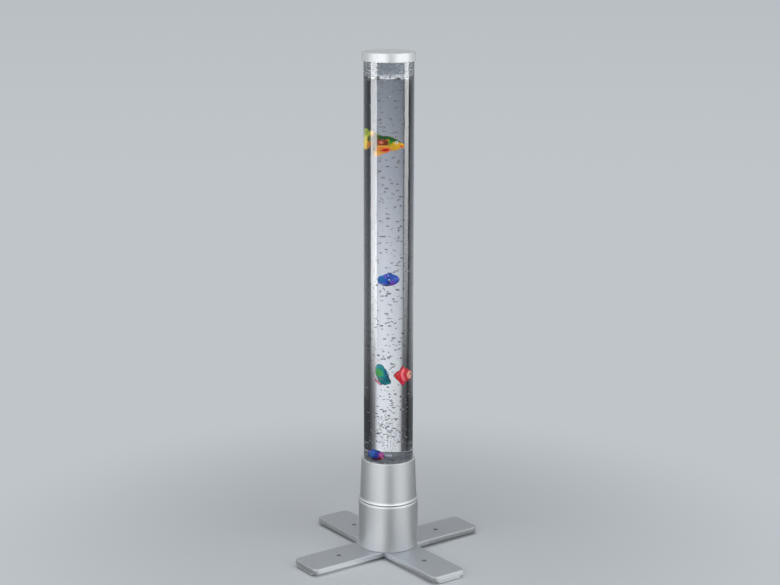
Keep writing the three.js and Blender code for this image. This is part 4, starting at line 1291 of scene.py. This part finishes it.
stage = {
    "floorReach": 3.2,
    "floorTone": tone(200, 204, 208),
    "fadeStart": 0.25,
    "fadeEnd": 1.1,
    "contact": 0.07,
    "mirrored": tone(90, 97, 102),  # the floor as clear walls mirror it
    "ceiling": 2.0,  # level of the overhead light in satin metal
    "through": tone(84, 90, 98),  # the room beyond the card, as the bubbles show it
    "overhead": (1.5, 1.52, 1.55, 1),  # the same, straight up
    "overheadFrom": (0.6, 0.8),  # these and the next two by the upward part of a ray
    "ceilingFrom": (0.7, 0.92),
    "horizon": (-0.18, 0.1),
    "ambient": tone(140, 143, 147),
    "backLow": tone(192, 197, 202),
    "backHigh": tone(176, 182, 188),
    "cardReach": 1.25,
    "cardBottom": -0.9,
    "cardTop": 2.2,
    "dim": 0.35,  # share of the room's light that is left near the floor
    "dimHeights": (-0.1, 0.3),
    "dimBands": [(-180, 1), (-17, 1), (-13, 0), (13, 0), (17, 1)],  # where it is dimmed, as in roomBands
    "mirroredFrom": (-0.1, 0.9),  # along Y
    "mirroredTones": (tone(118, 123, 128), tone(206, 212, 218)),
}
# what the water column shows of the room behind it, by degrees to the left and right of straight on
roomBands = [
    (-180, 0.1), (-80, 0.35), (-62, 0.35), (-36, 0.14), (-31, 0.01), (-27, 0.02), (-24, 0.2), (-17.4, 0.24),
    (-16.4, 0.62), (-10, 0.8), (0, 0.94), (5, 1), (11, 0.96), (16, 0.78), (20, 0.48), (24, 0.2), (28, 0.05),
    (54, 0.05), (66, 0.4),
]
roomHeights = [  # height on the card and its colour
    (-0.42, tone(70, 76, 84)), (-0.28, tone(238, 242, 249)), (0.04, tone(236, 240, 247)),
    (0.34, tone(222, 227, 236)), (0.66, tone(172, 178, 190)), (0.94, tone(132, 140, 150)),
    (1.02, tone(120, 128, 138)), (1.2, tone(56, 62, 70)),
]
# what satin metal mirrors of the studio: two soft boxes with a gap, by degrees to the right of the front
boxBands = [
    (-180, 0), (-150, 0.2), (-123, 0.6), (-99, 0.5), (-90, 0.6), (-81, 1.2), (-72, 1.6), (-57, 1.45),
    (-45, 1.45), (-33, 1.6), (-21, 1.85), (-12, 1.7), (-6, 1.2), (0, 0.5), (6, 0.1), (12, 0.1), (18, 0.6),
    (25, 1.3), (33, 1.85), (45, 1.6), (57, 1.35), (70, 1.6), (80, 1.9), (90, 1.4), (99, 0.7), (110, 0.5),
    (125, 0.7), (150, 0.2), (180, 0),
]
floorBands = [  # the same, mirrored once more in the floor
    (-180, 0.3), (-160, 0.25), (-145, 0.07), (-99, 0.03), (-90, 0.1), (-81, 0.28), (-69, 0.66), (-60, 0.79),
    (-48, 0.78), (-39, 0.92), (-27, 1.13), (-18, 0.98), (-9, 0.54), (-3, 0.19), (3, 0.03), (9, 0.1),
    (15, 0.35), (23, 0.7), (33, 0.9), (42, 0.93), (63, 0.84), (69, 0.75), (75, 0.55), (81, 0.3), (87, 0.12),
    (99, 0.12), (114, 0.2), (140, 0.05), (160, 0.25), (180, 0.3),
]
satin = {
    "low": 0.7,
    "heights": (0.35, 0.85),
    "most": 2,
    "back": 0.43,
    "backFrom": (0.55, 1.05),
    "glow": 2.25,
    "floorGlow": 1.3,
}
legFade = 0.03  # outside a stretch
# dark floor patches that only satin metal mirrors, painting shade on the legs' ends and sides
legShadePatches = [  # stretches along the rear right leg and across it, and the level there
    ((-0.4, -0.235), (-0.06, 0.16), 0.1),
    ((-0.1, -0.05), (-0.24, -0.12), 0.12),
    ((-0.1, -0.05), (0.08, 0.24), 0.14),
]
stripes = {  # upright bright panels at the sides, which only clear walls mirror, brighter towards the top
    "left": {"from": -87, "to": -54, "glow": 10, "heights": [(0.1, 0), (0.27, 0.6), (0.42, 1)]},
    "right": {"from": 74, "to": 98, "glow": 9, "heights": [(0.15, 0), (0.27, 0.14), (0.49, 0.45), (0.9, 1)]},
}
stripeReach, stripeTop = 1.15, 1.3
lamps = {
    "leftFront": {"azimuth": -40, "reach": 2.4, "height": 1.0, "size": (2.4, 2.0), "strength": 1.7},
    "rightFront": {"azimuth": 52, "reach": 2.4, "height": 1.0, "size": (1.8, 2.0), "strength": 1.9},
    "overhead": {"azimuth": 0, "reach": 0.3, "height": 2.7, "size": (2.4, 2.4), "strength": 1.4},
}


def lightPath(paint, kind):
    return paint.node("ShaderNodeLightPath", output="Is " + kind + " Ray")


def satinRay(paint):
    # 1 for what satin metal mirrors, 0 for what clear walls mirror or let through
    rough = lightPath(paint, "Glossy") * (1 - lightPath(paint, "Singular"))
    return rough * (1 - lightPath(paint, "Transmission"))


def around(paint, x, y, bands, most=1):
    # a level by the azimuth of this place, as a share of the most
    turned = paint.maths("ARCTAN2", x, y) * (0.5 / math.pi) + 0.5
    stops = [(degrees / 360 + 0.5, grey(level / most)) for degrees, level in bands]
    return paint.ramp(turned, stops)


def shadeBesideLegs(paint, level):
    # close to the legs the floor is darker where satin metal mirrors it, which paints shade on the legs' ends and
    # sides
    along, beside, up = legAxes(paint)
    for first, second, wanted in legShadePatches:
        share = 1.0
        for place, (low, high) in ((along, first), (beside, second)):
            share = share * paint.between(place, low - legFade, low)
            share = share * (1 - paint.between(place, high, high + legFade))
        level = paint.blend(share, level, grey(wanted / satin["floorGlow"]))
    return level


def paleFloor(paint):
    x, y, z = paint.axes(paint.points())
    reach = paint.away(x, y)
    lit = paint.node("ShaderNodeBsdfDiffuse", {}, {"Color": stage["floorTone"]})
    seen = paint.maths("MAXIMUM", lightPath(paint, "Camera"), lightPath(paint, "Glossy"))
    fade = paint.between(reach, stage["fadeStart"], stage["fadeEnd"])
    plain = paint.mix(fade * seen, lit, paint.glow(stage["backLow"]))
    sharp = lightPath(paint, "Singular") * lightPath(paint, "Glossy")
    plain = paint.mix(sharp, plain, paint.glow(stage["mirrored"]))
    level = shadeBesideLegs(paint, around(paint, x, 0 - y, floorBands, satin["floorGlow"]))
    near = paint.between(reach, stage["contact"], stage["contact"] * 2)
    return paint.mix(satinRay(paint) * near, plain, paint.glow(level, satin["floorGlow"]))


def addFloor():
    form = bmesh.new()
    bmesh.ops.create_circle(form, cap_ends=True, segments=96, radius=stage["floorReach"])
    floor = newObject("floor", meshOf(form, "floor"))
    floor.data.materials.append(newMaterial("paleFloor", paleFloor))
    floor.visible_transmission = False


def onCircle(azimuth, reach):
    # a place in plan, with its azimuth in degrees to the right of the front
    turned = math.radians(azimuth)
    return reach * math.sin(turned), -reach * math.cos(turned)


def uprightSheet(start, end, reach, bottom, top, segments):
    # a curved upright sheet from one azimuth to another
    form = bmesh.new()
    points = [form.verts.new((*onCircle(start, reach), height)) for height in (bottom, top)]
    line = form.edges.new(points)
    wanted = {"cent": (0, 0, 0), "axis": (0, 0, 1), "angle": math.radians(end - start), "steps": segments}
    bmesh.ops.spin(form, geom=[*points, line], use_merge=end - start == 360, **wanted)
    return form


def addSheet(name, form, build, seenThrough=False):
    sheet = newObject(name, meshOf(form, name))
    sheet.data.materials.append(newMaterial(name + "Glow", build))
    sheet.visible_camera = False
    sheet.visible_diffuse = False
    sheet.visible_shadow = False
    sheet.visible_transmission = seenThrough


def roomCard(paint):
    # bright straight behind the tube and dark beside it, as the room behind the water column is
    x, y, z = paint.axes(paint.points())
    low, high = roomHeights[0][0], roomHeights[-1][0]
    heightStops = [((height - low) / (high - low), colour) for height, colour in roomHeights]
    bright = paint.ramp((z - low) / (high - low), heightStops)
    dim = stage["dim"] + (1 - stage["dim"]) * paint.between(z, *stage["dimHeights"])
    beside = 1 - (1 - dim) * around(paint, x, y, stage["dimBands"])
    room = paint.blend(1.0, around(paint, x, y, roomBands) * beside, bright, "MULTIPLY")
    mirrored = paint.blend(paint.between(y, *stage["mirroredFrom"]), *stage["mirroredTones"])
    mirrored = paint.blend(1.0, mirrored, dim, "MULTIPLY")
    clear = paint.glow(paint.blend(lightPath(paint, "Transmission"), mirrored, room))
    risen = satin["low"] + (1 - satin["low"]) * paint.between(z, *satin["heights"])
    front = around(paint, x, 0 - y, boxBands, satin["most"]) * risen
    back = paint.between(y, *satin["backFrom"]) * (satin["back"] / satin["most"])
    boxes = paint.glow(paint.maths("MAXIMUM", front, back), satin["glow"])
    return paint.mix(satinRay(paint), clear, boxes)


def stripeCard(values):
    def build(paint):
        x, y, z = paint.axes(paint.points())
        top = values["heights"][-1][0]
        stops = [(height / top, grey(level)) for height, level in values["heights"]]
        glow = paint.glow(paint.ramp(z / top, stops), values["glow"])
        return paint.mix(satinRay(paint), glow, paint.node("ShaderNodeBsdfTransparent"))

    return build


def addLamp(name, azimuth, reach, height, size, strength, aim=0.5):
    # an area lamp that faces the lamp's middle, at the height of its aim
    data = bpy.data.lights.new(name, "AREA")
    data.shape = "RECTANGLE"
    data.size, data.size_y = size
    data.energy = strength * size[0] * size[1] * math.pi
    lamp = newObject(name, data)
    lamp.location = (*onCircle(azimuth, reach), height)
    away = Vector((0, 0, aim)) - lamp.location
    lamp.rotation_euler = away.to_track_quat("-Z", "Y").to_euler()
    lamp.visible_camera = False
    lamp.visible_transmission = False
    lamp.visible_glossy = False


def addWorld():
    scene.world = bpy.data.worlds.new("studio")
    paint = Paint(scene.world)
    x, y, z = paint.axes(paint.node("ShaderNodeTexCoord", output="Generated"))
    back = paint.blend(paint.between(z, *stage["horizon"]), stage["backLow"], stage["backHigh"])
    beyond = paint.blend(paint.between(z, *stage["overheadFrom"]), stage["through"], stage["overhead"])
    other = paint.blend(lightPath(paint, "Transmission"), stage["ambient"], beyond)
    seen = {"Color": paint.blend(lightPath(paint, "Camera"), other, back), "Strength": 1}
    background = paint.node("ShaderNodeBackground", {}, seen)
    light = {"Color": grey(1), "Strength": stage["ceiling"]}
    ceiling = paint.node("ShaderNodeBackground", {}, light)
    share = satinRay(paint) * paint.between(z, *stage["ceilingFrom"])
    paint.surface(paint.mix(share, background, ceiling), "World")


addFloor()
room = uprightSheet(0, 360, stage["cardReach"], stage["cardBottom"], stage["cardTop"], 180)
addSheet("roomCard", room, roomCard, seenThrough=True)
for name, values in stripes.items():
    sheet = uprightSheet(values["from"], values["to"], stripeReach, 0, stripeTop, 12)
    addSheet(name + "Stripe", sheet, stripeCard(values))
for name, values in lamps.items():
    addLamp(name, **values)
addWorld()
print("stage set")
